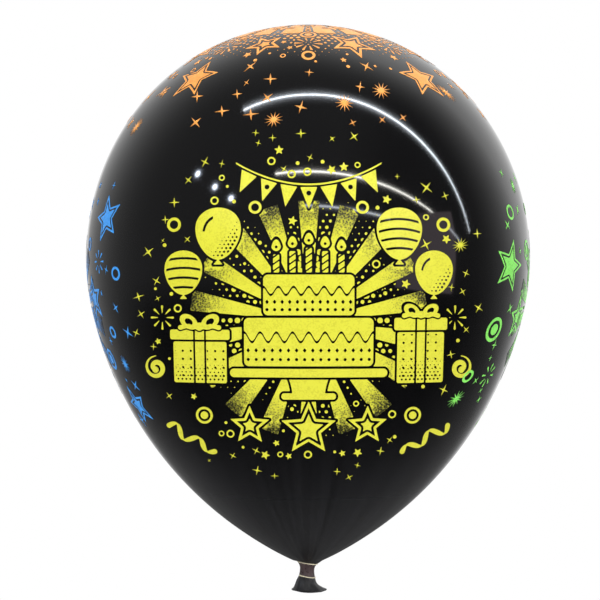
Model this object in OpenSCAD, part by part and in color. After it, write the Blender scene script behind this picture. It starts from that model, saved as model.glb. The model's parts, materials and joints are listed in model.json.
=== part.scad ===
// Printed latex party balloon, inflated and tied.
// Z is up. The origin is the middle of the tied neck, where a ribbon or a stick holds the balloon.
// All sizes are in millimetres.

/* [Envelope] */
// Largest diameter of the inflated film
balloon_d = 300; // [285:1:312]
// Height of the widest level above the tie point
equator_z = 212; // [204:1:220]
// Height of the crown above the tie point
crown_z = 369; // [362:1:380]
// Angle below the widest level where the long lower arc begins
lower_arc_from = 13; // [10:0.5:17]
// Drawn wall of the inflated film
film_t = 0.4; // [0.3:0.05:0.6]

/* [Neck] */
// Height of the level where the free film starts to gather
gather_z = 13; // [11:0.5:16]
// Number of fine gathers round the neck film
gathers = 18; // [8:2:28]
// Radius of a gather at its wide end
gather_r = 0.35; // [0.2:0.05:0.5]

/* [Knot] */
// Diameter of the tied neck at its waist
waist_d = 9.6; // [8.8:0.1:10.6]
// Height of the wrapped turn
band_h = 10; // [9:0.2:11]
// Radius of the hollow above the waist
upper_hollow_r = 6; // [5.6:0.1:7]
// Radius of the hollow below the waist, which runs on into the tail
lower_hollow_r = 17; // [15:0.5:20]
// Radius of the rolled edges of the wrapped turn
band_edge_r = 0.4; // [0.25:0.05:0.55]
// Radius of the gathered strand inside the wrapped turn
strand_r = 3.4; // [2.6:0.1:3.8]
// Radius of the ridge that crosses the wrapped turn at the back
bight_r = 1.1; // [0.8:0.1:1.3]
// Slant of that ridge
bight_slant = 18; // [8:1:26]

/* [Tail] */
// Drawn wall of the slack film below the knot
tail_t = 0.6; // [0.4:0.05:0.8]
// Radius of the open mouth
mouth_r = 11.8; // [10.8:0.1:13]
// Height of the limp stretch that bends under the knot
limp_h = 3.8; // [3:0.1:4.6]
// Radius of the rolled bead round the mouth
bead_r = 0.8; // [0.6:0.05:1.1]

/* [Print] */
// Drawn thickness of the printed ink
ink_t = 0.25; // [0.15:0.05:0.4]
// Height of the middle of the side prints
print_z = 178; // [168:1:190]
// Radius of the printed ring round the bare tip of the crown
crown_ring_r = 18; // [12:1:22]
// Width of the party picture, to which the other pictures keep their proportion
picture_w = 216; // [184:1:226]
// Bare line between two inked shapes
keyline = 1.8; // [1.2:0.1:2.4]
// Number of sparkles round each picture
sparkles = 22; // [8:1:34]

/* [Hidden] */
$fn = 96;

// Colours of the film and the five inks
film_colour = [0.03, 0.03, 0.035];
knot_colour = [0.25, 0.2, 0.2];
tail_colour = [0.13, 0.13, 0.14];
yellow_ink = [0.92, 0.9, 0.2];
pink_ink = [0.95, 0.3, 0.6];
blue_ink = [0.16, 0.52, 0.93];
green_ink = [0.36, 0.9, 0.35];
orange_ink = [0.98, 0.6, 0.28];

fit_gap = 0.05;          // between pieces of one body that sit on each other
arc_step = 4;            // angle between the points along an arc
reach = 2 * crown_z;     // longer than any section, for the cutters
drawn_w = 216;           // width at which the party picture is drawn
enlarged = picture_w / drawn_w;
bare = keyline / enlarged;

// ---- The balloon's outline: crown, side and lower arcs, each tangent to the next ----

half_w = balloon_d / 2;
rise = crown_z - equator_z;
band_top = band_h / 2;
band_bottom = -band_h / 2;
waist_r = waist_d / 2;

// Outer radius of the wrapped turn at a height above or below its waist
function hollow(r, z) = waist_r + r - sqrt(r * r - z * z);
rim_r = hollow(upper_hollow_r, band_top);

// The side arc has the curvature of an oval of this width and rise
side_r = rise * rise / half_w;
side_c = [half_w - side_r, equator_z];
crown_r = rise == half_w
  ? half_w
  : (side_r * side_r - side_c[0] * side_c[0] - rise * rise) / (2 * (side_r - rise));
crown_c = [0, crown_z - crown_r];
// They meet on the line through both centres, on the far side of the smaller arc's centre
between = side_r > crown_r ? crown_c - side_c : side_c - crown_c;
crown_angle = atan2(between[1], between[0]);

// The lower arc leaves the side arc at lower_arc_from and ends on the rim of the knot
down = [cos(lower_arc_from), -sin(lower_arc_from)];
to_rim = [rim_r, band_top] - side_c;
centre_step = (to_rim * to_rim - side_r * side_r) / (2 * (to_rim * down - side_r));
lower_r = side_r - centre_step;
lower_c = side_c + centre_step * down;

// Directions from the lower arc's centre to where the gathers start and to the rim
gather_angle = -asin((lower_c[1] - gather_z) / lower_r);
rim_angle = -asin((lower_c[1] - band_top) / lower_r);

function polar(r, a) = [r * cos(a), r * sin(a)];
function reverse(list) = [for (i = [len(list) - 1 : -1 : 0]) list[i]];

// Points from one direction to another, without the last, in equal steps of about arc_step
function arc(centre, r, from, to) =
  let (steps = ceil(abs(to - from) / arc_step))
  [for (i = [0 : steps - 1]) centre + polar(r, from + (to - from) * i / steps)];

// The free envelope's outline from crown to gathers, grown outwards by some distance
function envelope_outline(grow) = concat(
  arc(crown_c, crown_r + grow, 90, crown_angle),
  arc(side_c, side_r + grow, crown_angle, -lower_arc_from),
  arc(lower_c, lower_r + grow, -lower_arc_from, gather_angle),
  [lower_c + polar(lower_r + grow, gather_angle)]
);

// The gathered stretch of the same outline, down to the knot
function neck_outline(grow) = concat(
  arc(lower_c, lower_r + grow, gather_angle, rim_angle),
  [lower_c + polar(lower_r + grow, rim_angle)]
);

// A film between two outlines
module film(outer, inner) {
  rotate_extrude() polygon(concat(outer, reverse(inner)));
}

// ---- Film and neck ----

module envelope() {
  color(film_colour) film(envelope_outline(0), envelope_outline(-film_t));
}

// The film between the knot and the free envelope, with fine gathers that run into the knot
module neck_film() {
  high = lower_c + polar(lower_r, gather_angle);
  low = lower_c + polar(lower_r, rim_angle);
  run = high - low;
  margin = 2 * gather_r;
  color(film_colour) {
    film(neck_outline(0), neck_outline(-film_t));
    for (i = [0 : gathers - 1])
      rotate([0, 0, i * 360 / gathers])
        translate([low[0], 0, low[1]])
          rotate([0, atan2(run[0], run[1]), 0])
            translate([0, 0, margin])
              cylinder(h = norm(run) - 2 * margin, r1 = gather_r, r2 = gather_r / 3);
  }
}

// ---- Knot ----

bore_r = strand_r + fit_gap;
edge_centres = [
  [rim_r - band_edge_r, band_top - band_edge_r],
  [hollow(lower_hollow_r, band_bottom) - band_edge_r, band_bottom + band_edge_r]
];

// The space round the waist: a tight hollow above it and a wide one below, drawn in by some distance
module hollows(gap = 0) {
  intersection() {
    translate([waist_r + upper_hollow_r, 0]) circle(upper_hollow_r - gap);
    square([reach, band_h]);
  }
  intersection() {
    translate([waist_r + lower_hollow_r, 0]) circle(lower_hollow_r - gap);
    translate([0, -band_h]) square([reach, band_h]);
  }
}

// The rolled edges of the wrapped turn
module rolled_edges(gap = 0) {
  for (centre = edge_centres) translate(centre) circle(band_edge_r + gap);
}

// The wrapped turn: a ring hollowed to a waist, with a rolled edge above and below
module band_section() {
  difference() {
    translate([bore_r, band_bottom]) square([rim_r - bore_r, band_h]);
    hollows();
  }
  rolled_edges();
}

module knot_band() {
  color(knot_colour) rotate_extrude() band_section();
}

// The gathered neck inside the turn, domed above where the film closes in
module knot_strand() {
  color(knot_colour) {
    translate([0, 0, band_bottom]) cylinder(h = band_h, r = strand_r);
    translate([0, 0, band_top]) intersection() {
      sphere(strand_r);
      cylinder(h = strand_r, r = strand_r);
    }
  }
}

// The end of the turn: a low ridge that crosses it at the back and runs out under its edges
module knot_bight() {
  length = band_h - 2 * bight_r;
  clear_r = rim_r + fit_gap;
  color(knot_colour) difference() {
    translate([0, waist_r, 0]) rotate([0, bight_slant, 0]) {
      cylinder(h = length, r = bight_r, center = true);
      for (side = [-1, 1]) translate([0, 0, side * length / 2]) sphere(bight_r);
    }
    rotate_extrude() {
      difference() {
        translate([0, -band_h]) square([clear_r, 2 * band_h]);
        hollows(fit_gap);
      }
      rolled_edges(fit_gap);
    }
  }
}

// ---- Tail ----

// The tail carries on the hollow below the waist until it is as wide as the mouth
tail_c = [waist_r + lower_hollow_r, 0];
mouth_z = -sqrt(pow(lower_hollow_r, 2) - pow(tail_c[0] - mouth_r, 2));
limp_z = band_bottom - limp_h;

// The flared film between two heights
module tail_film_between(low, high) {
  rotate_extrude() intersection() {
    translate([0, low]) square([tail_c[0], high - low]);
    difference() {
      translate(tail_c) circle(lower_hollow_r + tail_t);
      translate(tail_c) circle(lower_hollow_r);
    }
  }
}

module tail_film() {
  color(tail_colour) tail_film_between(limp_z, band_bottom);
}

bead_c = [mouth_r - tail_t / 2, mouth_z];

module tail_skirt() {
  color(tail_colour) difference() {
    tail_film_between(mouth_z, limp_z);
    rotate_extrude() translate(bead_c) circle(bead_r);
  }
}

module mouth_bead() {
  color(tail_colour) rotate_extrude() translate(bead_c) circle(bead_r);
}

// ---- Print: flat drawings, later laid on the film ----

module star(r, points = 5, inner = 0.45) {
  polygon([for (i = [0 : 2 * points - 1]) polar(i % 2 == 0 ? r : r * inner, 90 + i * 180 / points)]);
}

// A star with a bare line inside its edge
module outlined_star(r) {
  difference() {
    star(r);
    star(r - 2 * bare);
  }
  star(r - 3.6 * bare);
}

module ring(r, width) {
  difference() {
    circle(r);
    circle(r - width);
  }
}

module target(r) {
  ring(r, r / 4);
  circle(r / 2.2);
}

// A four-pointed sparkle
module sparkle(r) {
  star(r, 4, 0.22);
}

// Short rays round an open middle
module burst(r, rays = 8) {
  for (i = [0 : rays - 1])
    rotate(i * 360 / rays)
      polygon([[r * 0.4, -r * 0.03], [r, -r * 0.1], [r, r * 0.1], [r * 0.4, r * 0.03]]);
}

// A bar with round corners that stands on its middle
module rounded_bar(w, h, r) {
  corners = [[w / 2 - r, r, -90], [w / 2 - r, h - r, 0], [-w / 2 + r, h - r, 90], [-w / 2 + r, r, 180]];
  polygon([for (c = corners) for (turn = [0 : 30 : 90]) [c[0], c[1]] + polar(r, c[2] + turn)]);
}

// Points along a wave, from left to right
function wave(w, y, depth, count) =
  [for (i = [0 : 6 * count]) [w * (i / (6 * count) - 0.5), y + depth * cos(60 * i)]];

// One tier of the cake: its body, and above a bare line its icing with a wavy edge
module tier(w, h, count) {
  icing_y = h * 0.55;
  depth = h * 0.09;
  margin = 2;
  intersection() {
    rounded_bar(w, h, 3);
    polygon(concat(wave(w + margin, icing_y - bare / 2, depth, count), [[w, -margin], [-w, -margin]]));
  }
  intersection() {
    rounded_bar(w, h, 3);
    polygon(concat(wave(w + margin, icing_y + bare / 2, depth, count),
      [[w, h + margin], [-w, h + margin]]));
  }
}

module candle(h) {
  flame_r = 2.8;
  rounded_bar(4, h, 1);
  translate([0, h + bare + flame_r])
    polygon(concat([for (a = [150 : 20 : 390]) polar(flame_r, a)], [[0, 2.6 * flame_r]]));
}

module cake() {
  base_w = 78;
  base_h = 30;
  top_w = 54;
  top_h = 26;
  plate_h = 5;
  foot_h = 9;
  translate([0, -plate_h - bare]) rounded_bar(base_w + 18, plate_h, 2.4);
  translate([0, -plate_h - 2 * bare])
    polygon([[-9, 0], [9, 0], [16, -foot_h], [-16, -foot_h]]);
  tier(base_w, base_h, 7);
  translate([0, base_h + bare]) {
    tier(top_w, top_h, 5);
    for (x = [-20 : 10 : 20])
      translate([x, top_h + bare]) candle(14 - abs(x) / 5);
  }
}

// A wrapped box with a bow
module gift(w, h) {
  ribbon = w / 6;
  lid_h = h / 4;
  half = w / 2 - ribbon / 2 - bare;
  for (side = [-1, 1]) {
    translate([side * (ribbon + 2 * bare + half) / 2, 0]) rounded_bar(half, h, 1.5);
    translate([side * ((ribbon + 2 * bare + half) / 2 + 1), h + bare])
      rounded_bar(half + 2, lid_h, 1.5);
    translate([side * w / 5, h + lid_h + bare + w / 5]) ring(w / 7, 3);
  }
  rounded_bar(ribbon, h + lid_h + bare, 1);
}

// A small party balloon with a bare highlight
module toy_balloon(r) {
  knot_y = -1.15 * r - bare;
  difference() {
    polygon([for (a = [0 : 15 : 345]) [r * cos(a) * (1 + 0.12 * sin(a)), 1.15 * r * sin(a)]]);
    translate([-0.38 * r, 0.4 * r]) circle(0.18 * r);
  }
  polygon([[0, knot_y + bare / 2], [0.22 * r, knot_y - 0.2 * r], [-0.22 * r, knot_y - 0.2 * r]]);
}

// Flags on a sagging line
module bunting(span, sag, flags) {
  flag_w = span / flags;
  for (i = [0 : flags - 1]) {
    x = (i + 0.5 - flags / 2) * flag_w;
    drop = sag * (1 - pow(2 * x / span, 2));
    translate([x, -drop]) rotate(atan(8 * sag * x / (span * span)))
      polygon([[-flag_w / 2 + bare / 2, 0], [flag_w / 2 - bare / 2, 0], [0, -1.2 * flag_w]]);
  }
}

// Sparkles in a loose ring round a picture
module sparkle_ring(w, h, count) {
  for (i = [0 : count - 1]) {
    a = i * 360 / count + 9 * sin(i * 137);
    stretch = 1 + 0.09 * sin(i * 211);
    translate([w / 2 * cos(a) * stretch, h / 2 * sin(a) * stretch]) sparkle(3.6 + 2 * sin(i * 97));
  }
}

module party_picture() {
  translate([0, -36]) cake();
  translate([-68, -47]) gift(34, 26);
  translate([70, -47]) gift(30, 32);
  for (side = [-1, 1]) {
    translate([side * 78, 22]) toy_balloon(12);
    translate([side * 56, 46]) toy_balloon(14);
    translate([side * 37, -74]) outlined_star(13);
    translate([side * 66, -68]) target(5.5);
    translate([side * 84, 52]) ring(4.5, 1.8);
    translate([side * 33, 62]) ring(4, 1.6);
    translate([side * 92, -6]) burst(7);
  }
  translate([0, -76]) outlined_star(18);
  translate([0, 88]) bunting(84, 12, 7);
  sparkle_ring(drawn_w, drawn_w, sparkles);
}

module side_picture() {
  translate([0, 44]) outlined_star(19);
  translate([-46, -6]) outlined_star(15);
  translate([44, 6]) outlined_star(16);
  translate([4, -48]) outlined_star(14);
  for (spot = [[-2, 4, 9], [42, -34, 7], [-40, 38, 7]]) translate([spot[0], spot[1]]) target(spot[2]);
  for (spot = [[-22, -30, 4.5], [24, -22, 4], [40, 42, 4.5], [-24, 66, 4], [64, -16, 4]])
    translate([spot[0], spot[1]]) ring(spot[2], 1.6);
  for (spot = [[-62, -44], [62, 30]]) translate([spot[0], spot[1]]) burst(7);
  sparkle_ring(150, 160, ceil(sparkles / 2));
}

// Stars, targets and rings in circles round the bare tip of the crown
module crown_picture() {
  turns = 8;
  ring(crown_ring_r / enlarged, 3);
  for (i = [0 : turns - 1]) rotate((i + 0.5) * 360 / turns) {
    translate([42, 0]) sparkle(7);
    translate([74, 0]) rotate(-90) outlined_star(i % 2 == 0 ? 16 : 13);
    translate([97, 0]) sparkle(5);
    rotate(180 / turns) {
      translate([32, 0]) ring(4, 1.6);
      translate([60, 0]) target(5.5);
      translate([88, 0]) ring(4.5, 1.8);
    }
  }
}

// ---- Print: the ink, which follows the film ----

module ink_film() {
  film(envelope_outline(fit_gap + ink_t), envelope_outline(fit_gap));
}

// A drawing laid on the side that faces a direction round the balloon, 0 being the front
module ink_on_side(facing) {
  intersection() {
    rotate([0, 0, facing]) translate([0, 0, print_z]) rotate([90, 0, 0])
      linear_extrude(height = reach / 2) scale(enlarged) children();
    ink_film();
  }
}

module front_print() {
  color(yellow_ink) ink_on_side(0) party_picture();
}

module back_print() {
  color(pink_ink) ink_on_side(180) party_picture();
}

module right_print() {
  color(green_ink) ink_on_side(90) side_picture();
}

module left_print() {
  color(blue_ink) ink_on_side(-90) side_picture();
}

module crown_print() {
  color(orange_ink) intersection() {
    translate([0, 0, equator_z]) linear_extrude(height = reach / 2) scale(enlarged) crown_picture();
    ink_film();
  }
}

envelope();
neck_film();
knot_band();
knot_strand();
knot_bight();
tail_film();
tail_skirt();
mouth_bead();
front_print();
back_print();
left_print();
right_print();
crown_print();
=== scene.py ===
# %% [markdown]
# # A printed latex balloon
# A party balloon is one dipped piece of rubber. Air stretches most of it into a thin glossy bag, a knot
# closes the neck, and the slack end below the knot flares out to the rolled mouth that it was filled
# through. Bright rubber ink was printed on it before it was filled.
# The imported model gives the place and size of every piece. This notebook makes the looks on top of it:
# the film, the knot, the tail, the prints, their finishes, and the studio around them.

# %% Load the frame
import json
import math

import bmesh
import bpy
import numpy as np
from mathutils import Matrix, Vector
from mathutils.geometry import delaunay_2d_cdt

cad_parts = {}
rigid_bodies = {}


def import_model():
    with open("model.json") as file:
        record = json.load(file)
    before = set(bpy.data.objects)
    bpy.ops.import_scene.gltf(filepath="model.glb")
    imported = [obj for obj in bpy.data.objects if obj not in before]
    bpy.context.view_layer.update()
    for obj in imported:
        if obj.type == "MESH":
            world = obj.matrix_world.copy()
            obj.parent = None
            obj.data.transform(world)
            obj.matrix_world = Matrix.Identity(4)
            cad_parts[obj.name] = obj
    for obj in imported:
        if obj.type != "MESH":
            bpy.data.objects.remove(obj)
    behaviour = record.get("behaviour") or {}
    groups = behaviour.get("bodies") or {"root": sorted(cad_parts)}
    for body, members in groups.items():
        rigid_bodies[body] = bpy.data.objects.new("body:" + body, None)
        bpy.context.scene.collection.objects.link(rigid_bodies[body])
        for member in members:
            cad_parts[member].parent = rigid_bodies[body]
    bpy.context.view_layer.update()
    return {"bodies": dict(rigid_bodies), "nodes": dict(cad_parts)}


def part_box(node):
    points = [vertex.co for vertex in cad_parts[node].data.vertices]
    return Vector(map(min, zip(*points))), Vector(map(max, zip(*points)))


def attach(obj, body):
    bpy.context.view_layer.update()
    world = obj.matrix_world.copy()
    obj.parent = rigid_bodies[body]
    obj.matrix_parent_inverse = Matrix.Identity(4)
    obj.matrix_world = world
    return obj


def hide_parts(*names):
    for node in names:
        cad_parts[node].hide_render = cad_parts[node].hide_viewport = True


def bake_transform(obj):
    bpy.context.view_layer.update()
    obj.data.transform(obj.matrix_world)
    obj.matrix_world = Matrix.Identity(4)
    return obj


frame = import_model()
scene = bpy.context.scene
MM = 0.001
print("bodies:", sorted(frame["bodies"]))

# %% [markdown]
# ## Small helpers
# Colours are written as sRGB hex, the way a paint program shows them, and one function turns them into
# the linear numbers that Blender's shaders work in.
# One function adds a node to a tree, sets its properties and its sockets, and links what is given as an
# output. It serves shader trees and geometry trees alike, so every tree below reads as a list of steps.
# Python's own signs for arithmetic work on an output too: each adds one Math node, so that a formula in
# a tree looks as it would on paper.

# %% Colours and nodes
def srgb(hex_code):
    """A colour such as "#E6E63C" as linear RGBA."""
    channels = [int(hex_code[i:i + 2], 16) / 255 for i in (1, 3, 5)]
    return [c / 12.92 if c < 0.04045 else ((c + 0.055) / 1.055) ** 2.4 for c in channels] + [1.0]


class Output:
    """One output of a node: the first, unless brackets pick another by its name or number."""

    def __init__(self, node, key=0):
        self.node, self.tree, self.socket = node, node.id_data, node.outputs[key]

    def __getitem__(self, key):
        return Output(self.node, key)


def add(tree, kind, inputs=None, **settings):
    """Adds a node. inputs maps a socket's name or number to a value, an output, or a list of outputs."""
    node = tree.nodes.new(kind)
    for name, value in settings.items():
        setattr(node, name, value)
    for key, value in (inputs or {}).items():
        sources = value if isinstance(value, list) else [value]
        if isinstance(sources[0], Output):
            for source in sources:
                tree.links.new(source.socket, node.inputs[key])
        else:
            node.inputs[key].default_value = value
    return Output(node) if node.outputs else None


signs = {"add": "ADD", "sub": "SUBTRACT", "mul": "MULTIPLY", "truediv": "DIVIDE", "pow": "POWER"}
for sign, step in signs.items():
    setattr(Output, "__%s__" % sign, lambda first, second, step=step: add(
        first.tree, "ShaderNodeMath", {0: first, 1: second}, operation=step))
print("yellow ink in linear numbers:", [round(c, 3) for c in srgb("#E6E63C")])

# %% [markdown]
# ## The camera
# A product photographer stands well back with a long lens, so that the balloon keeps its true outline.
# The camera looks level along +Y from 1.5 m away, a little above the middle of the envelope.

# %% Camera
camera_distance = 1.5
camera_height = 0.183
camera_side = -0.0054
view_width = 0.408
camera_data = bpy.data.cameras.new("studio_camera")
camera_data.sensor_width = 36
camera_data.lens = camera_data.sensor_width * camera_distance / view_width
camera = bpy.data.objects.new("studio_camera", camera_data)
camera.location = (camera_side, -camera_distance, camera_height)
camera.rotation_euler = (math.radians(90), 0, 0)
scene.collection.objects.link(camera)
scene.camera = camera
print("lens in mm:", round(camera_data.lens, 1))

# %% [markdown]
# ## The outline of the film
# A filled balloon is a body of revolution, because the air presses equally everywhere. Its outline here
# is three arcs, each tangent to the next: a crown, a side with its centre near the axis, and a long
# lower arc that runs into the neck. Everything printed on the film has to follow it exactly, so it is a
# formula that every later step asks, and not a mesh that they measure.
# The half width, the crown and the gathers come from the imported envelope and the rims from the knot's
# band. The rest is named here.

# %% Outline as three arcs
envelope_low, envelope_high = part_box("envelope")
band_low, band_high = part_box("knot_band")
half_width = round(envelope_high.x, 3)
crown_z = envelope_high.z
gather_z = envelope_low.z
band_top = band_high.z
band_bottom = band_low.z
equator_z = 212 * MM
lower_arc_from = math.radians(13)
waist_r = 4.8 * MM
upper_hollow_r = 6 * MM
lower_hollow_r = 17 * MM


def hollow(z):
    """Radius of the tied neck: it widens in a tight hollow above the waist and a wide one below."""
    r = np.where(z > 0, upper_hollow_r, lower_hollow_r)
    return waist_r + r - np.sqrt(r ** 2 - z ** 2)


rim_r = float(hollow(band_top))
rise = crown_z - equator_z
side_r = rise ** 2 / half_width
side_c = np.array([half_width - side_r, equator_z])
crown_r = (side_r ** 2 - side_c[0] ** 2 - rise ** 2) / (2 * (side_r - rise))
crown_c = np.array([0, crown_z - crown_r])
down = np.array([math.cos(lower_arc_from), -math.sin(lower_arc_from)])
to_rim = np.array([rim_r, band_top]) - side_c
centre_step = (to_rim @ to_rim - side_r ** 2) / (2 * (to_rim @ down - side_r))
lower_r = side_r - centre_step
lower_c = side_c + centre_step * down
crown_angle = math.atan2(crown_c[1] - side_c[1], crown_c[0] - side_c[0])
crown_joint_z = side_c[1] + side_r * math.sin(crown_angle)
lower_joint_z = side_c[1] - side_r * math.sin(lower_arc_from)
print("arc radii in mm:", [round(float(r) / MM, 1) for r in (crown_r, side_r, lower_r)])

# %% Radius, height and direction of the film
outline_arcs = [(*crown_c, crown_r), (*side_c, side_r), (*lower_c, lower_r)]


def arc_at(z):
    """Centre radius, centre height and radius of the arc that holds each height."""
    high, low = z > crown_joint_z, z < lower_joint_z
    return [np.where(high, top, np.where(low, bottom, middle))
            for top, middle, bottom in zip(*outline_arcs)]


def radius_at(z):
    """The film's radius at a height."""
    cx, cz, r = arc_at(z)
    return cx + np.sqrt(np.maximum(r ** 2 - (z - cz) ** 2, 0))


def crown_height_at(radius):
    """The film's height above a point that lies this far from the axis, on the upper half."""
    inside = radius < radius_at(crown_joint_z)
    cx, cz, r = (np.where(inside, top, middle) for top, middle, _ in zip(*outline_arcs))
    return cz + np.sqrt(np.maximum(r ** 2 - (radius - cx) ** 2, 0))


def outward(points):
    """The film's outward direction at points on it."""
    cx, cz, r = arc_at(points[:, 2])
    around = np.maximum(np.hypot(points[:, 0], points[:, 1]), 1e-9)
    along = (around - cx) / around
    n = np.stack([points[:, 0] * along, points[:, 1] * along, points[:, 2] - cz], 1)
    return n / np.linalg.norm(n, axis=1)[:, None]


print("radius at the middle in mm:", round(float(radius_at(equator_z)) / MM, 1))

# %% [markdown]
# ## Drawing with distance fields
# The prints need round and pointed shapes with holes, and each shape in front has a bare line round it.
# Curves could draw them, but cutting overlapping curves is fragile. A distance field is a picture of
# numbers: how far each spot is outside a shape, or inside it where the number is negative. Joining two
# shapes is then a minimum, cutting is a maximum, and a bare line is a shift.
# A sheet holds two such fields in millimetres, flat, as the printing screen is: one to the ink and one to
# the outer edges of the shapes, which are stamped on it from back to front. A third field says how well
# the ink covers, since some shapes fade out into the black.

# %% Sheet of ink and stamps
keyline = 1.4
cell = 0.4
blank = 30.0


def polar(r, degrees):
    """A flat point at a distance and a direction, counted from the right."""
    return (r * math.cos(math.radians(degrees)), r * math.sin(math.radians(degrees)))


class Sheet:
    """A square of fields, in millimetres round its middle: to the ink, and to the outer edges."""

    def __init__(self, width):
        self.u = self.v = np.arange(-width / 2, width / 2 + cell, cell)
        self.ink = np.full((len(self.v), len(self.u)), blank)
        self.edge = self.ink.copy()
        self.cover = np.ones_like(self.ink)

    def window(self, x, y, reach):
        """The part of the field within reach of a place, as slices and flat coordinates."""
        cols = slice(*np.searchsorted(self.u, (x - reach, x + reach)))
        rows = slice(*np.searchsorted(self.v, (y - reach, y + reach)))
        u, v = np.meshgrid(self.u[cols] - x, self.v[rows] - y)
        return (rows, cols), u, v

    def stamp(self, shape, x, y, reach, turn=0, cover=None):
        """Prints a shape, which gives its ink and its outer edge, with bare ground round it."""
        where, u, v = self.window(x, y, reach)
        c, s = polar(1, turn)
        ink, edge = shape(c * u + s * v, c * v - s * u)
        covered = cover(np.hypot(u, v)) if cover else 1.0
        self.cover[where] = np.where(edge < keyline, covered, self.cover[where])
        self.ink[where] = np.minimum(np.maximum(self.ink[where], keyline - edge), ink)
        self.edge[where] = np.minimum(self.edge[where], edge)

    def stamp_behind(self, shape, x, y, reach):
        """Prints a shape only where it clears the outer edges of all that is there already."""
        where, u, v = self.window(x, y, reach)
        ink = shape(u, v)[0]
        self.ink[where] = np.minimum(self.ink[where], np.maximum(ink, keyline - self.edge[where]))

    def at(self, points, f):
        """One of the fields at flat points, between its cells."""
        i = (points[:, 0] - self.u[0]) / cell
        j = (points[:, 1] - self.v[0]) / cell
        i0 = np.clip(i.astype(int), 0, len(self.u) - 2)
        j0 = np.clip(j.astype(int), 0, len(self.v) - 2)
        fi, fj = i - i0, j - j0
        return ((f[j0, i0] * (1 - fi) + f[j0, i0 + 1] * fi) * (1 - fj)
                + (f[j0 + 1, i0] * (1 - fi) + f[j0 + 1, i0 + 1] * fi) * fj)

    def room(self, u, v, f):
        """How far one place is from what a field stands for."""
        return self.at(np.array([[u, v]]), f)[0]


def fading(start, end):
    """Full cover at one distance from a motif's middle, none at the other, a straight slope between."""
    return lambda r: np.clip((end - r) / (end - start), 0, 1)


def within(near, far):
    """Says whether a place lies between two distances from the middle of a sheet."""
    return lambda u, v: near < math.hypot(u, v) < far


print("one sheet cell is", cell, "mm")

# %% [markdown]
# ## Simple shapes
# Each helper below turns flat coordinates into a distance. The motifs are built from them: a star is a
# polygon, a ring is the shell of a disc, a ribbon is a thick line along a curve.

# %% Distance to simple shapes
def disc(u, v, x=0, y=0, r=1):
    """A round of radius r at a place."""
    return np.hypot(u - x, v - y) - r


def bar(u, v, x0, y0, x1, y1, corner=0):
    """A rectangle between two corners, with round corners."""
    du = np.abs(u - (x0 + x1) / 2) - (x1 - x0) / 2 + corner
    dv = np.abs(v - (y0 + y1) / 2) - (y1 - y0) / 2 + corner
    outside = np.hypot(np.maximum(du, 0), np.maximum(dv, 0))
    return outside + np.minimum(np.maximum(du, dv), 0) - corner


def segment(u, v, a, b):
    """Distance to a straight line from a to b, and how far along it the nearest spot is."""
    ex, ey = b[0] - a[0], b[1] - a[1]
    t = np.clip(((u - a[0]) * ex + (v - a[1]) * ey) / (ex * ex + ey * ey), 0, 1)
    return np.hypot(u - a[0] - t * ex, v - a[1] - t * ey), t


def polygon(u, v, points):
    """A closed polygon of straight edges. A spot is inside if an odd number of edges is to its right."""
    nearest = np.full(u.shape, 1e9)
    inside = np.zeros(u.shape, bool)
    for a, b in zip(points, points[1:] + points[:1]):
        nearest = np.minimum(nearest, segment(u, v, a, b)[0])
        slope = (b[0] - a[0]) / (b[1] - a[1] or 1e-9)
        inside ^= ((a[1] <= v) != (b[1] <= v)) & (u < a[0] + (v - a[1]) * slope)
    return np.where(inside, -nearest, nearest)


def star_points(r, points=5, inner=0.45):
    """The corners of a star that stands on two points, outer and inner ones in turn."""
    return [polar(r * inner if i % 2 else r, 90 + i * 180 / points) for i in range(2 * points)]


def thick_line(u, v, points, widths):
    """A line through points, with a width at each of them."""
    nearest = np.full(u.shape, 1e9)
    for a, b, width_a, width_b in zip(points, points[1:], widths, widths[1:]):
        away, t = segment(u, v, a, b)
        nearest = np.minimum(nearest, away - (width_a + (width_b - width_a) * t) / 2)
    return nearest


print("a star has", len(star_points(10)), "corners")

# %% [markdown]
# ## The motifs
# A party print mixes a few bold pictures with many small signs. Each motif is a function that takes flat
# coordinates round its own middle, in millimetres, and gives two distances: to its ink, and to its outer
# edge, which the bare line round it follows.

# %% Stars, rings and bursts
def plain(distance):
    """A motif whose ink reaches its outer edge everywhere."""
    return lambda u, v: (distance(u, v),) * 2


def plain_star(r, points=5, inner=0.45):
    """A solid star."""
    return plain(lambda u, v: polygon(u, v, star_points(r, points, inner)))


def outlined_star(r, line=1.5):
    """A star with a bare line inside its edge."""
    def shape(u, v):
        edge = polygon(u, v, star_points(r))
        bare = np.abs(edge + 1.6 * line) - line / 2
        return np.maximum(edge, -bare), edge
    return shape


def ring(r, width):
    """A ring, with its outer radius and its width."""
    return lambda u, v: (np.abs(disc(u, v, r=r - width / 2)) - width / 2, disc(u, v, r=r))


def target(r):
    """A ring round a dot."""
    def shape(u, v):
        band = np.abs(disc(u, v, r=r * 0.86)) - r * 0.14
        return np.minimum(band, disc(u, v, r=r * 0.45)), disc(u, v, r=r)
    return shape


def burst(r, rays=8):
    """Short rays round an open middle."""
    ends = [(polar(r * 0.42, i * 360 / rays), polar(r, i * 360 / rays)) for i in range(rays)]
    widths = (r * 0.05, r * 0.2)
    return plain(lambda u, v: np.minimum.reduce([thick_line(u, v, ray, widths) for ray in ends]))

print("stars, rings, targets and bursts are ready")

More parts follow.
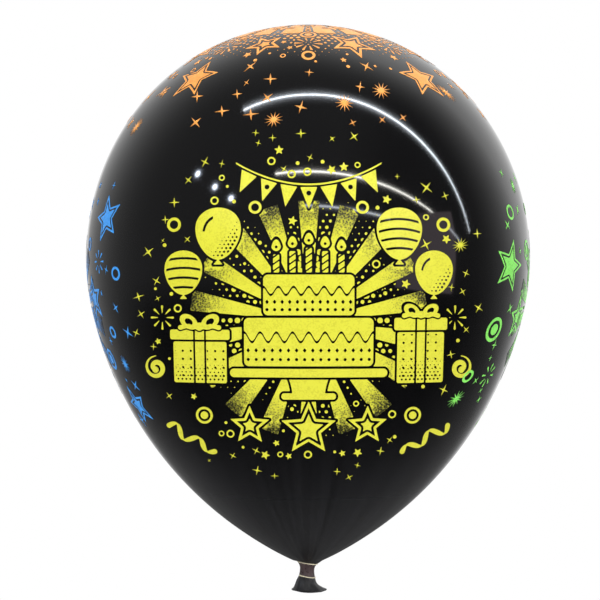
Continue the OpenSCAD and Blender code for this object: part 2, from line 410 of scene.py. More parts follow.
# %% Cake, candles and plate
def tier(u, v, y, w, h, scallops):
    """One tier: its body, a bare wavy line, its icing, and a row of bare beads along its foot."""
    block = bar(u, v, -w / 2, y, w / 2, y + h, 3)
    wave = y + h * 0.6 + h * 0.1 * np.cos(2 * math.pi * u * scallops / w)
    across = (u + w) % (w / scallops / 2) - w / scallops / 4
    beads = np.hypot(across, v - y - h * 0.14) - 1.0
    diamonds = np.abs(across * 1.3) + np.abs(v - y - h * 0.33) - 1.5
    return np.maximum(block, -np.minimum.reduce([np.abs(v - wave) - 0.75, beads, diamonds])), block


def candle(u, v, x, y, h):
    """A striped candle with its flame."""
    stick = bar(u, v, x - 1.9, y, x + 1.9, y + h, 0.8)
    stripes = np.abs((v - y - 0.7 * (u - x)) % 4.2 - 2.1) - 0.55
    flame_y = y + h + 5.0
    rise = v - flame_y
    taper = np.clip(rise / 7.0, 0, 1)
    flame = np.hypot(u - x, np.where(rise > 0, rise * 0.45, rise)) - 2.9 * (1 - 0.6 * taper)
    core = disc(u, v, x, flame_y - 0.4, 0.9)
    return np.minimum(np.maximum(stick, -stripes), np.maximum(flame, -core)), np.minimum(stick, flame)


def cake(u, v):
    """Two tiers with five candles on a stand."""
    plate = bar(u, v, -49, -27, 49, -21.6, 2.6)
    foot = np.maximum(np.abs(u) - 10 - 0.016 * (v + 40) ** 2, np.abs(v + 33.2) - 4.8)
    base = bar(u, v, -17, -41, 17, -37, 1.8)
    parts = [tier(u, v, -20, 80, 30, 8), tier(u, v, 11.6, 56, 25, 6)]
    parts += [(part, part) for part in (plate, foot, base)]
    parts += [candle(u, v, x, 37.9, 15 - abs(x) / 5) for x in (-20, -10, 0, 10, 20)]
    return tuple(np.minimum.reduce(fields) for fields in zip(*parts))

print("the cake is ready")

# %% Gifts, toy balloons and flags
def gift(w, h):
    """A wrapped box: body, lid, ribbon and a bow of two loops and two tails."""
    def shape(u, v):
        lid_h, ribbon = h * 0.24, w * 0.085
        body = bar(u, v, -w / 2, 0, w / 2, h, 1.2)
        lid = bar(u, v, -w / 2 - 2, h + 1.3, w / 2 + 2, h + lid_h + 1.3, 1.2)
        boxes = np.minimum(body, lid)
        bare = np.abs(np.abs(u) - ribbon - 0.6) - 0.6
        dots = np.hypot((u + 50) % 5.2 - 2.6, (v + 50) % 5.2 - 2.6) - 0.75
        pattern = np.maximum(dots, ribbon + 1.6 - np.abs(u))
        ink = np.maximum(np.maximum(boxes, -bare), -np.maximum(pattern, body + 1.2))
        top = h + lid_h + 1.8
        bow = disc(u, v, 0, top + 1.4, w * 0.075)
        for side in (-1, 1):
            x = side * w * 0.2
            loop = np.hypot((u - x) * 0.8, v - top - w * 0.13 - 0.3 * side * (u - x)) - w * 0.135
            tail = [(0, top), (side * w * 0.2, top + 2.0), (side * w * 0.36, top + 0.8)]
            bow = np.minimum.reduce([bow, np.maximum(loop, -loop - w * 0.075),
                                     thick_line(u, v, tail, [1.6, 2.2, 3.0])])
        return np.minimum(np.maximum(ink, 0.9 - bow), bow), np.minimum(boxes, bow)
    return shape


def toy_balloon(r, stripes=False):
    """A party balloon and its knot, with bare stripes or a bare highlight."""
    def shape(u, v):
        egg = np.hypot(u / (1 + 0.012 * v), v / 1.15) - r
        if stripes:
            bare = np.abs((v + 0.0009 * r * u * u) % 6.0 - 3.0) - 0.75
            bare = np.maximum.reduce([bare, egg + 1.2, np.abs(v) - 0.85 * r])
        else:
            bare = np.abs(np.hypot(u / 0.9, v / 1.05) - r * 0.72) - r * 0.06
            bare = np.maximum.reduce([bare, -u - v * 0.3 - r * 0.9, u + 0.22 * r, -v + 0.1 * r])
        knot = polygon(u, v, [(0, -1.12 * r), (0.2 * r, -1.36 * r), (-0.2 * r, -1.36 * r)])
        return np.minimum(np.maximum(egg, -bare), knot), np.minimum(egg, knot)
    return shape


def bunting(span, sag, flags):
    """Flags on a sagging line, every second one with a bare dot."""
    w = span / flags

    def shape(u, v):
        line = np.abs(v + sag * (1 - (2 * u / span) ** 2)) - 0.55
        ink = edge = np.maximum(line, np.abs(u) - span / 2 - 3)
        for i in range(flags):
            x = (i + 0.5 - flags / 2) * w
            y = -sag * (1 - (2 * x / span) ** 2)
            c, s = polar(1, math.degrees(math.atan(8 * sag * x / span ** 2)))
            corners = [(-w / 2 + 0.8, -1.6), (w / 2 - 0.8, -1.6), (0, -1.25 * w)]
            flag = polygon(u, v, [(x + c * a - s * b, y + s * a + c * b) for a, b in corners])
            dot = disc(u, v, x + 0.45 * w * s, y - 0.45 * w, 1.5)
            ink = np.minimum(ink, np.maximum(flag, -dot) if i % 2 else flag)
            edge = np.minimum(edge, flag)
        return ink, edge
    return shape


print("gifts, toy balloons and flags are ready")

# %% Dots and shadows
def halftone(spacing, size_at):
    """Dots on a staggered grid. Their radius depends on the place, and below zero there is none."""
    def distance(u, v):
        row = np.round(v / (spacing * 0.866))
        du = (u - row % 2 * spacing / 2 + spacing / 2) % spacing - spacing / 2
        dv = v - row * spacing * 0.866
        return np.hypot(du, dv) - size_at(u - du, v - dv)
    return plain(distance)


shadow_spacing = 2.6


def shaded(motif, towards, start, length):
    """A motif with bare dots that grow towards one side, which prints a shadow with one ink."""
    c, s = polar(1, towards)
    grown = lambda u, v: 0.36 * shadow_spacing * np.clip((c * u + s * v - start) / length, -0.2, 1)
    bare_dots = halftone(shadow_spacing, grown)

    def shape(u, v):
        ink, edge = motif(u, v)
        return np.maximum(ink, -np.maximum(bare_dots(u, v)[0], edge + 1.3)), edge
    return shape


print("dots and shadows are ready")

# %% Curls, rays and streamers
def swirl(r, width, sweep):
    """A curl that winds in and ends in a round drop."""
    along = [i / 60 for i in range(61)]
    points = [polar(r * (1 - 0.8 * t), 90 - sweep * t) for t in along]
    widths = [width * math.sin(math.pi * (0.06 + 0.72 * t)) for t in along]
    drop = (*points[-1], width * 0.66)
    return plain(lambda u, v: np.minimum(thick_line(u, v, points, widths), disc(u, v, *drop)))


def fan(near, far, wedges, share):
    """Solid wedges round a middle, between two radii, like the rays of a sun."""
    step = 2 * math.pi / wedges

    def distance(u, v):
        r = np.hypot(u, v)
        aside = np.abs((np.arctan2(v, u) + 2 * math.pi) % step - step / 2) - share * step / 2
        return np.maximum(np.maximum(near - r, r - far), r * np.sin(np.clip(aside, -1, 1)))
    return plain(distance)


def streamer(turns, length, width, curl):
    """A paper streamer: a wave that widens and narrows as it twists."""
    along = [i / (26 * turns) for i in range(26 * turns + 1)]
    swing = lambda t: curl * math.sin(2 * math.pi * turns * t) * (0.55 + 0.45 * t)
    points = [(length * t, swing(t)) for t in along]
    widths = [width * (0.25 + 0.75 * abs(math.cos(2 * math.pi * turns * t))) for t in along]
    return plain(lambda u, v: thick_line(u, v, points, widths))


print("curls, rays and streamers are ready")

# %% [markdown]
# ## From field to outline
# The edge of the ink is where the field crosses zero. Marching squares walks over the cells of the sheet
# and joins the crossings into closed loops. Points on straight stretches are then thinned out, so that a
# flag keeps three corners and a ring keeps its curve.

# %% Trace the zero line
straight_within = 0.012
longest_edge = 3.0
fewest_points = 8


def trace(sheet):
    """Closed loops along the edge of the ink, as arrays of flat points."""
    f = sheet.ink
    inside = f < 0
    spots = {}

    def crossing(j, i, dj, di):
        key = (j, i, dj)
        if key not in spots:
            t = f[j, i] / (f[j, i] - f[j + dj, i + di])
            spots[key] = (sheet.u[i] + t * di * cell, sheet.v[j] + t * dj * cell)
        return key

    count = inside[:-1, :-1].astype(int) + inside[1:, :-1] + inside[:-1, 1:] + inside[1:, 1:]
    links = {}
    for j, i in zip(*np.nonzero((count > 0) & (count < 4))):
        corners = [inside[j, i], inside[j, i + 1], inside[j + 1, i + 1], inside[j + 1, i]]
        edges = [(j, i, 0, 1), (j, i + 1, 1, 0), (j + 1, i, 0, 1), (j, i, 1, 0)]
        cut = [crossing(*edges[k]) for k in range(4) if corners[k] != corners[(k + 1) % 4]]
        if len(cut) == 4 and corners[0] != (f[j:j + 2, i:i + 2].mean() < 0):
            cut = cut[3:] + cut[:3]
        for a, b in zip(cut[::2], cut[1::2]):
            links.setdefault(a, []).append(b)
            links.setdefault(b, []).append(a)
    loops = []
    while links:
        start, (follow, _) = next(iter(links.items()))
        loop, last = [start], start
        while follow != start:
            loop.append(follow)
            a, b = links[follow]
            last, follow = follow, (b if a == last else a)
        for key in loop:
            del links[key]
        loops.append(np.array([spots[key] for key in loop]))
    return loops


def thin_out(loop):
    """Drops every second point that lies on the line between its neighbours, a few times over."""
    for _ in range(5):
        before, after = np.roll(loop, 1, 0), np.roll(loop, -1, 0)
        chord = after - before
        length = np.maximum(np.linalg.norm(chord, axis=1), 1e-9)
        off = np.abs(chord[:, 0] * (loop - before)[:, 1] - chord[:, 1] * (loop - before)[:, 0]) / length
        odd = np.arange(len(loop)) % 2 == 1
        drop = odd & (off < straight_within) & (length < longest_edge)
        if len(loop) - drop.sum() < fewest_points:
            break
        loop = loop[~drop]
    return loop


print("outlines keep within", straight_within, "mm of the traced line")

# %% [markdown]
# ## From outline to ink on the film
# A flat outline can't simply be filled and bent: one long triangle would cut through the curved film. So
# the fill gets extra points on a grid inside the ink, a constrained triangulation joins them with the
# outline, and every point is then carried onto the film's formula. The layer gets a second skin a tenth
# of a millimetre further out and a wall round its edge, which closes it. Real ink is a few hundredths
# thick, but its bottom lies just clear of the film here, so that the two never fight for one surface.

# %% Carry flat shapes onto the film
def facing_axes(degrees):
    """The directions right and out of a side of the balloon. The front is at 0, its right side at 90."""
    c, s = polar(1, degrees)
    return np.array([c, s, 0]), np.array([s, -c, 0])


def on_side(facing, middle_z):
    """Carries flat millimetres onto the side of the film that faces a direction."""
    right, out = facing_axes(facing)

    def lay(flat):
        u, z = flat[:, 0] * MM, flat[:, 1] * MM + middle_z
        depth = np.sqrt(np.maximum(radius_at(z) ** 2 - u ** 2, 0))
        return u[:, None] * right + depth[:, None] * out + z[:, None] * np.array([0, 0, 1])
    return lay


def on_crown(flat):
    """Carries flat millimetres straight up onto the crown."""
    x, y = flat[:, 0] * MM, flat[:, 1] * MM
    return np.stack([x, y, crown_height_at(np.hypot(x, y))], 1)


print("tip of the crown in mm:", round(float(on_crown(np.zeros((1, 2)))[0, 2]) / MM, 1))

# %% Lay ink on the film
ink_lift = 0.03 * MM
ink_thickness = 0.1 * MM
fill_step = 3.5
fill_margin = 0.8
smallest_loop = 6


def new_piece(name, vertices, faces, material):
    """A smooth mesh piece with one material."""
    mesh = bpy.data.meshes.new(name)
    mesh.from_pydata([tuple(v) for v in vertices], [], [tuple(int(i) for i in f) for f in faces])
    mesh.validate()
    mesh.shade_smooth()
    mesh.materials.append(material)
    piece = bpy.data.objects.new(name, mesh)
    scene.collection.objects.link(piece)
    return piece


def fill(sheet):
    """Triangles that cover the ink, as flat points and corner numbers."""
    points, edges = [], []
    for loop in trace(sheet):
        if len(loop) < smallest_loop:
            continue
        loop, first = thin_out(loop), len(points)
        points += [tuple(p) for p in loop]
        edges += [(first + k, first + (k + 1) % len(loop)) for k in range(len(loop))]
    every = int(fill_step / cell)
    grid = np.stack(np.meshgrid(sheet.u[::every], sheet.v[::every]), -1).reshape(-1, 2)
    points += [tuple(p) for p in grid[sheet.at(grid, sheet.ink) < -fill_margin]]
    result = delaunay_2d_cdt([Vector(p) for p in points], edges, [], 1, 1e-5)
    flat, triangles = np.array([tuple(p) for p in result[0]]), np.array(result[2])
    return flat, triangles[sheet.at(flat[triangles].mean(1), sheet.ink) < 0]


def lay_ink(name, sheet, lay, material):
    """A closed layer of ink on the film, from a sheet."""
    flat, triangles = fill(sheet)
    base = lay(flat)
    normals = outward(base)
    corner = base[triangles]
    facing = np.cross(corner[:, 1] - corner[:, 0], corner[:, 2] - corner[:, 0])
    flipped = (facing * normals[triangles[:, 0]]).sum(1) < 0
    triangles[flipped] = triangles[flipped][:, ::-1]
    directed = triangles[:, [0, 1, 1, 2, 2, 0]].reshape(-1, 2)
    seen = set(map(tuple, directed.tolist()))
    rim = np.array([(a, b) for a, b in seen if (b, a) not in seen])
    n = len(flat)
    top = base + normals * (ink_lift + ink_thickness)
    walls = np.stack([rim[:, 1], rim[:, 0], rim[:, 0] + n, rim[:, 1] + n], 1)
    faces = [*(triangles + n).tolist(), *triangles[:, ::-1].tolist(), *walls.tolist()]
    piece = new_piece(name, np.concatenate([base + normals * ink_lift, top]), faces, material)
    cover = np.tile(sheet.at(flat, sheet.cover), 2)
    piece.data.attributes.new("ink_cover", "FLOAT", "POINT").data.foreach_set("value", cover)
    piece.data.normals_split_custom_set_from_vertices(np.concatenate([normals, normals]))
    return piece


print("ink is", ink_thickness / MM, "mm thick")

# %% [markdown]
# ## Dipped latex
# A latex balloon is made by dipping a former into liquid rubber. Stretched by air it becomes a very
# smooth, glossy film of natural rubber, index about 1.52. Black pigment makes it opaque, so nearly all
# that one sees is reflection: dark where it mirrors a dark room, white at the edges where it mirrors the
# backdrop. The film is thinnest round the middle and stays thicker, duller and greyer near the neck,
# where fine lengthwise streaks from the gathers show. Those follow the height and the direction round
# the axis, which the shader works out from Object coordinates.

# %% Film material
def new_material(name):
    """A material with an empty tree, and that tree."""
    material = bpy.data.materials.new(name)
    material.use_nodes = True
    material.node_tree.nodes.clear()
    return material, material.node_tree


def position(tree):
    """Object coordinates in metres: the place, and its x, y and z."""
    place = add(tree, "ShaderNodeTexCoord")["Object"]
    return place, *add(tree, "ShaderNodeSeparateXYZ", {0: place})


def fade(value, none, full):
    """0 on one side of a range and 1 on the other, with a smooth rise between."""
    return add(value.tree, "ShaderNodeMapRange", {0: value, 1: none, 2: full},
               interpolation_type="SMOOTHSTEP")


def lengthwise_streaks(x, y, z, across, along):
    """Noise drawn out along the axis: across is the streaks per turn, along the streaks per metre."""
    angle = add(x.tree, "ShaderNodeMath", {0: y, 1: x}, operation="ARCTAN2")
    east, north = (add(x.tree, "ShaderNodeMath", {0: angle}, operation=step) for step in ("COSINE", "SINE"))
    where = add(x.tree, "ShaderNodeCombineXYZ", {0: east * across, 1: north * across, 2: z * along})
    return add(x.tree, "ShaderNodeTexNoise", {"Vector": where, "Scale": 1.0, "Detail": 3.0})


def rubber_skin(tree, colours, share, roughness, relief, strength, depth, ior):
    """Ends a tree: two colours mixed by a share, a gloss, and a relief of this depth."""
    colour = add(tree, "ShaderNodeMix", {0: share, 6: colours[0], 7: colours[1]}, data_type="RGBA")[2]
    bump = add(tree, "ShaderNodeBump", {"Strength": strength, "Distance": depth, "Height": relief})
    shader = add(tree, "ShaderNodeBsdfPrincipled", {
        "Base Color": colour, "Roughness": roughness, "Normal": bump, "IOR": ior})
    add(tree, "ShaderNodeOutputMaterial", {0: shader})


def stretched_latex():
    """Black and glossy, greyer, duller and streaked towards the neck."""
    material, tree = new_material("dipped_latex_stretched")
    place, x, y, z = position(tree)
    near_neck = fade(z, 0.2, 0.02)
    at_neck = fade(z, 0.09, 0.01)
    streaks = lengthwise_streaks(x, y, z, 14.0, 5.0)
    smudges = add(tree, "ShaderNodeTexNoise", {"Vector": place, "Scale": 22.0, "Detail": 4.0})
    roughness = smudges * 0.035 + at_neck * 0.2 + near_neck * 0.14 + 0.045
    rubber_skin(tree, [srgb("#070708"), srgb("#2C2C2F")], near_neck ** 4 * streaks, roughness,
                streaks, near_neck * 0.9 + 0.04, 0.12 * MM, latex_ior)
    return material


latex_ior = 1.52
film_latex = stretched_latex()
print("made", film_latex.name)

# %% [markdown]
# ## The film by geometry nodes
# The film is one rule, an outline turned round an axis, so a node tree makes it: for each arc a grid is
# bent so that its columns go round the axis and its rows follow the arc, and doubled points are welded at
# the pole and the seam. The last stretch above the knot is gathered into fine pleats that die away
# upwards. A Set Position node makes them by moving every point outwards by a cosine of its direction
# round the axis.
# One function with a list of arcs builds the tree of the free film and those of the two gathered
# stretches below it, and the gathers and the material are the trees' named inputs.

# %% Film tree
def empty_tree(name, inputs):
    """A geometry tree and its named inputs. A value is an input's default, and a text is its kind."""
    tree = bpy.data.node_groups.new(name, "GeometryNodeTree")
    for way in ("INPUT", "OUTPUT"):
        tree.interface.new_socket("Geometry", in_out=way, socket_type="NodeSocketGeometry")
    kinds = {int: "NodeSocketInt", float: "NodeSocketFloat", tuple: "NodeSocketVector"}
    for label, value in inputs.items():
        kind = kinds.get(type(value), value)
        item = tree.interface.new_socket(label, in_out="INPUT", socket_type=kind)
        if kind != value:
            item.default_value = value
    return tree, add(tree, "NodeGroupInput")


def made_plain(piece):
    """Turns what a piece's modifier makes into its own plain mesh."""
    evaluated = piece.evaluated_get(bpy.context.evaluated_depsgraph_get())
    mesh = bpy.data.meshes.new_from_object(evaluated)
    piece.modifiers.clear()
    piece.data = mesh
    mesh.name = piece.name
    return piece


def run_tree(name, tree, values, base=None):
    """Evaluates a tree on a mesh, with values for its named inputs, and returns a plain mesh piece."""
    piece = bpy.data.objects.new(name, base or bpy.data.meshes.new(name))
    scene.collection.objects.link(piece)
    modifier = piece.modifiers.new("tree", "NODES")
    modifier.node_group = tree
    for item in tree.interface.items_tree:
        if item.item_type == "SOCKET" and item.in_out == "INPUT" and item.name in values:
            modifier[item.identifier] = values[item.name]
    return made_plain(piece)


print("geometry trees can be built")

# %% A strip of film turned from one arc
full_turn = 2 * math.pi
film_sides = 256


def turned_arc_tree():
    """A grid whose columns go round the axis and whose rows follow an arc."""
    tree, given = empty_tree("turned_arc", {
        "Centre Radius": 0.0, "Centre Height": 0.0, "Arc Radius": 0.1,
        "From": 0.0, "To": 1.0, "Rings": 40, "Sides": film_sides})
    grid = add(tree, "GeometryNodeMeshGrid", {
        "Size X": 1.0, "Size Y": 1.0, "Vertices X": given["Sides"] + 1, "Vertices Y": given["Rings"] + 1})
    across, along, _ = add(tree, "ShaderNodeSeparateXYZ", {0: add(tree, "GeometryNodeInputPosition")})
    angles = ((given["To"] - given["From"]) * (along + 0.5) + given["From"], across * full_turn)
    (out, up), (east, north) = ([add(tree, "ShaderNodeMath", {0: angle}, operation=step)
                                 for step in ("COSINE", "SINE")] for angle in angles)
    radius = out * given["Arc Radius"] + given["Centre Radius"]
    height = up * given["Arc Radius"] + given["Centre Height"]
    place = add(tree, "ShaderNodeCombineXYZ", {0: radius * east, 1: radius * north, 2: height})
    moved = add(tree, "GeometryNodeSetPosition", {"Geometry": grid, "Position": place})
    add(tree, "NodeGroupOutput", {0: moved})
    return tree


turned_arc = turned_arc_tree()


def arc_strip(tree, centre, radius, start, end, rings):
    """One strip inside another tree."""
    return add(tree, "GeometryNodeGroup", {
        "Centre Radius": centre[0], "Centre Height": centre[1], "Arc Radius": radius,
        "From": start, "To": end, "Rings": rings}, node_tree=turned_arc)


def welded(tree, parts, distance):
    """Parts joined, with the points merged that lie closer than a distance, at seams and poles too."""
    joined = add(tree, "GeometryNodeJoinGeometry", {0: parts})
    return add(tree, "GeometryNodeMergeByDistance", {"Geometry": joined, "Distance": distance})


def finished(tree, geometry, material):
    """The last steps of every tree: real meshes only, smooth, with one material."""
    real = add(tree, "GeometryNodeRealizeInstances", {"Geometry": geometry})
    smooth = add(tree, "GeometryNodeSetShadeSmooth", {"Geometry": real, "Shade Smooth": True})
    coated = add(tree, "GeometryNodeSetMaterial", {"Geometry": smooth, "Material": material})
    add(tree, "NodeGroupOutput", {0: coated})
    return tree


print("strip tree has", len(turned_arc.nodes), "nodes")

# %% Gathers above the knot
seam_gap = 0.01 * MM
lower_start = -lower_arc_from
gather_angle = -math.asin((lower_c[1] - gather_z) / lower_r)
rim_angle = -math.asin((lower_c[1] - band_top) / lower_r)


def gathered(tree, film, given):
    """Pleats that start flat at the knot, are deepest at Gather Reach above it, and die away."""
    x, y, z = add(tree, "ShaderNodeSeparateXYZ", {0: add(tree, "GeometryNodeInputPosition")})
    around = add(tree, "ShaderNodeMath", {0: y, 1: x}, operation="ARCTAN2")
    share = (z - band_top) / given["Gather Reach"]
    up = add(tree, "ShaderNodeMath", {0: share, 1: 0.0}, operation="MAXIMUM")
    decay = add(tree, "ShaderNodeMath", {0: up * -1 + 1}, operation="EXPONENT")
    depth = up * decay * given["Gather Depth"]
    fine, coarse = (add(tree, "ShaderNodeMath", {0: angle}, operation="COSINE")
                    for angle in (around * given["Gathers"], around * 5 + 2))
    pleat = fine * (coarse * 0.45 + 0.6)
    flat = add(tree, "ShaderNodeCombineXYZ", {0: x, 1: y})
    outwards = add(tree, "ShaderNodeVectorMath", {0: flat}, operation="NORMALIZE")
    step = add(tree, "ShaderNodeVectorMath", {0: outwards, "Scale": pleat * depth}, operation="SCALE")
    return add(tree, "GeometryNodeSetPosition", {"Geometry": film, "Offset": step})


def film_tree(name, arcs):
    """A tree that turns arcs into film and gathers it."""
    tree, given = empty_tree(name, {
        "Gathers": 18, "Gather Depth": 0.28 * MM, "Gather Reach": 7 * MM, "Material": "NodeSocketMaterial"})
    film = welded(tree, [arc_strip(tree, *arc) for arc in arcs], seam_gap)
    return finished(tree, gathered(tree, film, given), given["Material"])


neck_mid_angle = (gather_angle + rim_angle) / 2
fine_angle = gather_angle + math.radians(7)
envelope_arcs = [(crown_c, crown_r, crown_angle, math.radians(90), 40),
                 (side_c, side_r, lower_start, crown_angle, 40),
                 (lower_c, lower_r, fine_angle, lower_start, 60),
                 (lower_c, lower_r, gather_angle, fine_angle, 30)]
upper_neck_arcs = [(lower_c, lower_r, neck_mid_angle, gather_angle, 12)]
lower_neck_arcs = [(lower_c, lower_r, rim_angle, neck_mid_angle, 12)]
print("gathers start at", round(gather_z / MM, 1), "mm")

# %% [markdown]
# A tree leaves an open skin. Solidify gives it a wall, inwards, so that the outside stays where the
# outline says, and the piece becomes a closed shell that can also be printed or measured.

# %% Film pieces
film_wall = 0.3 * MM
sharp_edge = math.radians(50)


def thicken(piece, wall):
    """Gives an open skin a wall on its inner side and closes it."""
    modifier = piece.modifiers.new("wall", "SOLIDIFY")
    modifier.thickness = wall
    modifier.offset = -1
    made_plain(piece)
    piece.data.set_sharp_from_angle(angle=sharp_edge)
    return piece


def film_piece(name, arcs):
    """Film along some arcs, as a closed piece."""
    piece = run_tree(name, film_tree(name + "_tree", arcs), {"Material": film_latex})
    return thicken(piece, film_wall)


def stands_for(piece, node, slot, body=None):
    """Hides the CAD node that a piece stands for and, if a body is given, hangs the piece on it. The slot
    is not used.
    """
    if body:
        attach(piece, body)
    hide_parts(node)
    print(piece.name, "has", len(piece.data.polygons), "faces")


envelope = film_piece("free_film", envelope_arcs)
stands_for(envelope, "envelope", "latex_film", "balloon")
neck_mid_z = float(lower_c[1] + lower_r * math.sin(neck_mid_angle))
upper_neck = film_piece("neck_film_upper", upper_neck_arcs)
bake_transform(upper_neck)
lower_neck = film_piece("neck_film_lower", lower_neck_arcs)
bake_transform(lower_neck)
for piece in (upper_neck, lower_neck):
    stands_for(piece, "neck_film", "latex_film")

# %% [markdown]
# ## The knot
# The neck is stretched, wound once round itself and pulled through, so that all one sees from the front
# is a short waist. The wound turn is stretched so far that its pigment spreads out and it looks dark
# brown, and its two rolled edges are painted cream, a painted highlight of the bright backdrop that they
# mirror. The turn slants a little and its middle is a little off the axis, as no knot is pulled straight.
# A surface like this is a grid of points whose columns close round the axis, so one function makes nearly
# every piece of the knot and the tail from such a grid. The slant is a rule that all of them share,
# and the film above follows it too, so that no edge opens.

# %% Grids of points
def smooth_step(low, high, value):
    """0 at one number and 1 at the other, with a smooth rise between."""
    t = np.clip((value - low) / (high - low), 0, 1)
    return t * t * (3 - 2 * t)


def round_axis(sides):
    """Directions round the axis, evenly spaced."""
    return np.linspace(0, full_turn, sides, endpoint=False)


def peak(angles, centre, width):
    """1 in one direction, dying away like a bell to both sides of it."""
    return np.exp(-(np.angle(np.exp(1j * (angles - centre))) / width) ** 2)


def turned(angles, radius, z):
    """Points at a radius and height for each direction."""
    x, y, z = np.broadcast_arrays(radius * np.cos(angles), radius * np.sin(angles), z)
    return np.stack([x, y, z], -1)


knot_slant = math.tan(math.radians(8.5))


def settle(points):
    """The slant and sideways sag of a real knot, which die away above and below it."""
    x, y, z = points[..., 0], points[..., 1], points[..., 2]
    on_film = smooth_step(4 * MM, 6 * MM, z) * smooth_step(5.5 * MM, 11 * MM, np.hypot(x, y))
    on_film = np.maximum(on_film, smooth_step(15 * MM, 20 * MM, z))
    slanted = (1 - on_film) * smooth_step(-13.5 * MM, -7 * MM, z)
    left = 0.6 * MM * (1 - on_film)
    right = 1.1 * MM * (1 - smooth_step(-14 * MM, -8 * MM, z))
    return np.stack([x - left + right, y, z - knot_slant * x * slanted], -1)


def quads(index):
    """Faces between rows of point numbers. Each row closes on itself."""
    beside = np.roll(index, -1, axis=1)
    return np.stack([index[:-1], beside[:-1], beside[1:], index[1:]], -1).reshape(-1, 4)


def skin(name, grid, material, ring=False):
    """A mesh through a grid of points. Its columns close round the axis, and a ring's rows close too."""
    index = np.arange(grid[..., 0].size).reshape(grid.shape[:2])
    faces = quads(np.concatenate([index, index[:1]]) if ring else index)
    points = settle(grid).reshape(-1, 3)
    corner = points[faces]
    area = np.cross(corner[:, 2] - corner[:, 0], corner[:, 3] - corner[:, 1])
    if (area[:, :2] * corner.mean(1)[:, :2]).sum() < 0:
        faces = faces[:, ::-1]
    return new_piece(name, points, faces, material)


def resettle(piece):
    """Lets a finished film piece follow the knot."""
    flat = np.empty(len(piece.data.vertices) * 3)
    piece.data.vertices.foreach_get("co", flat)
    piece.data.vertices.foreach_set("co", settle(flat.reshape(-1, 3)).ravel())
    piece.data.update()


for piece in (envelope, upper_neck, lower_neck):
    resettle(piece)
print("the knot's rim is", round(rim_r / MM, 2), "mm from the axis")

# %% [markdown]
# ## Latex of the knot and the tail
# The wound turn is the same black rubber, stretched until it is sheer: a dark brown with a soft shine and
# fine lines that run with the pull. Its rolled edges are painted cream and near white: a painted highlight
# of the backdrop mirrored in them. The slack tail isn't stretched at all, so it is a flat grey black, with
# the faint bloom of talc that keeps unfilled balloons from sticking. The lines are 0.2 to 0.5 mm apart on
# the real thing, and up to 1 mm here, so that they still show.

# %% Knot and tail materials
def knot_latex(name, dark, light, roughness):
    """Latex under pull: streaks along the pull, a slightly uneven gloss."""
    material, tree = new_material(name)
    place, x, y, z = position(tree)
    lines = lengthwise_streaks(x, y, z, 9.0, 90.0)
    cloud = add(tree, "ShaderNodeTexNoise", {"Vector": place, "Scale": 420.0, "Detail": 2.0})
    rubber_skin(tree, [srgb(dark), srgb(light)], lines * cloud, cloud * 0.16 + roughness,
                lines, 0.35, 0.15 * MM, latex_ior)
    return material


sheer_latex = knot_latex("dipped_latex_sheer", "#33262A", "#6A5A58", 0.22)
# The rolled edges are painted cream and near white: a painted highlight of the backdrop that they mirror.
painted_highlight_latex = knot_latex("dipped_latex_thinned_edge", "#CFC4A2", "#FFFBE8", 0.3)
slack_latex = knot_latex("dipped_latex_slack", "#161618", "#3A3A3D", 0.38)
print("knot and tail materials:", sheer_latex.name, painted_highlight_latex.name, slack_latex.name)

# %% Wound turn and its rolled edges
turn_sides = 144
turn_low = -4.7 * MM
turn_high = 4.5 * MM
outer_rows = 30
bore_rows = 8
bore_r = 3.5 * MM


def wound_turn():
    """A ring with a hollow outside, a straight bore inside, and gathers that run through the knot."""
    outer_z = np.linspace(turn_low, turn_high, outer_rows)
    r = np.concatenate([hollow(outer_z), np.full(bore_rows, bore_r)])[:, None]
    z = np.concatenate([outer_z, np.linspace(turn_high, turn_low, bore_rows)])[:, None]
    outside = np.repeat([1, 0], [outer_rows, bore_rows])[:, None]
    angles = round_axis(turn_sides)
    coarse = 0.07 * MM * np.cos(13 * angles + z / MM * 0.25)
    fine = 0.05 * MM * np.cos(31 * angles - z / MM * 0.2 + 1.3)
    return skin("knot_turn", turned(angles, r + outside * (coarse + fine), z), sheer_latex, ring=True)


def rolled_edge(name, on_hollow, inwards, z, radius, wobble):
    """A bead that swells and sags a little on its way round."""
    angles = round_axis(turn_sides)
    section = round_axis(14)[:, None]
    swell = radius * (1 + wobble * np.cos(3 * angles + 1.0) + 0.5 * wobble * np.cos(7 * angles))
    r = hollow(on_hollow) - inwards + swell * np.cos(section) + 0.1 * MM * np.cos(5 * angles)
    z = z + swell * np.sin(section) + 0.12 * MM * np.sin(2 * angles + 0.6)
    return skin(name, turned(angles, r, z), painted_highlight_latex, ring=True)


for piece in (wound_turn(),
              rolled_edge("knot_edge_upper", 4.6 * MM, 0.25 * MM, 4.7 * MM, 0.5 * MM, 0.12),
              rolled_edge("knot_edge_lower", -4.8 * MM, 0.22 * MM, -4.85 * MM, 0.46 * MM, 0.1)):
    stands_for(piece, "knot_band", "knot_latex", "knot")

# %% Foot of the neck film
foot_z = np.linspace(4.75 * MM, band_top, 5)[:, None]
neck_foot = skin("neck_foot", turned(round_axis(film_sides), hollow(foot_z), foot_z), film_latex)
stands_for(thicken(neck_foot, film_wall), "neck_film", "latex_film", "knot")

# %% [markdown]
# At the back the end of the turn comes out over the waist: a cord of rolled latex, twisted by the pull,
# that dives under both edges. It is a tube swept along a slanting path on the hollow, with a section
# that turns on its way.

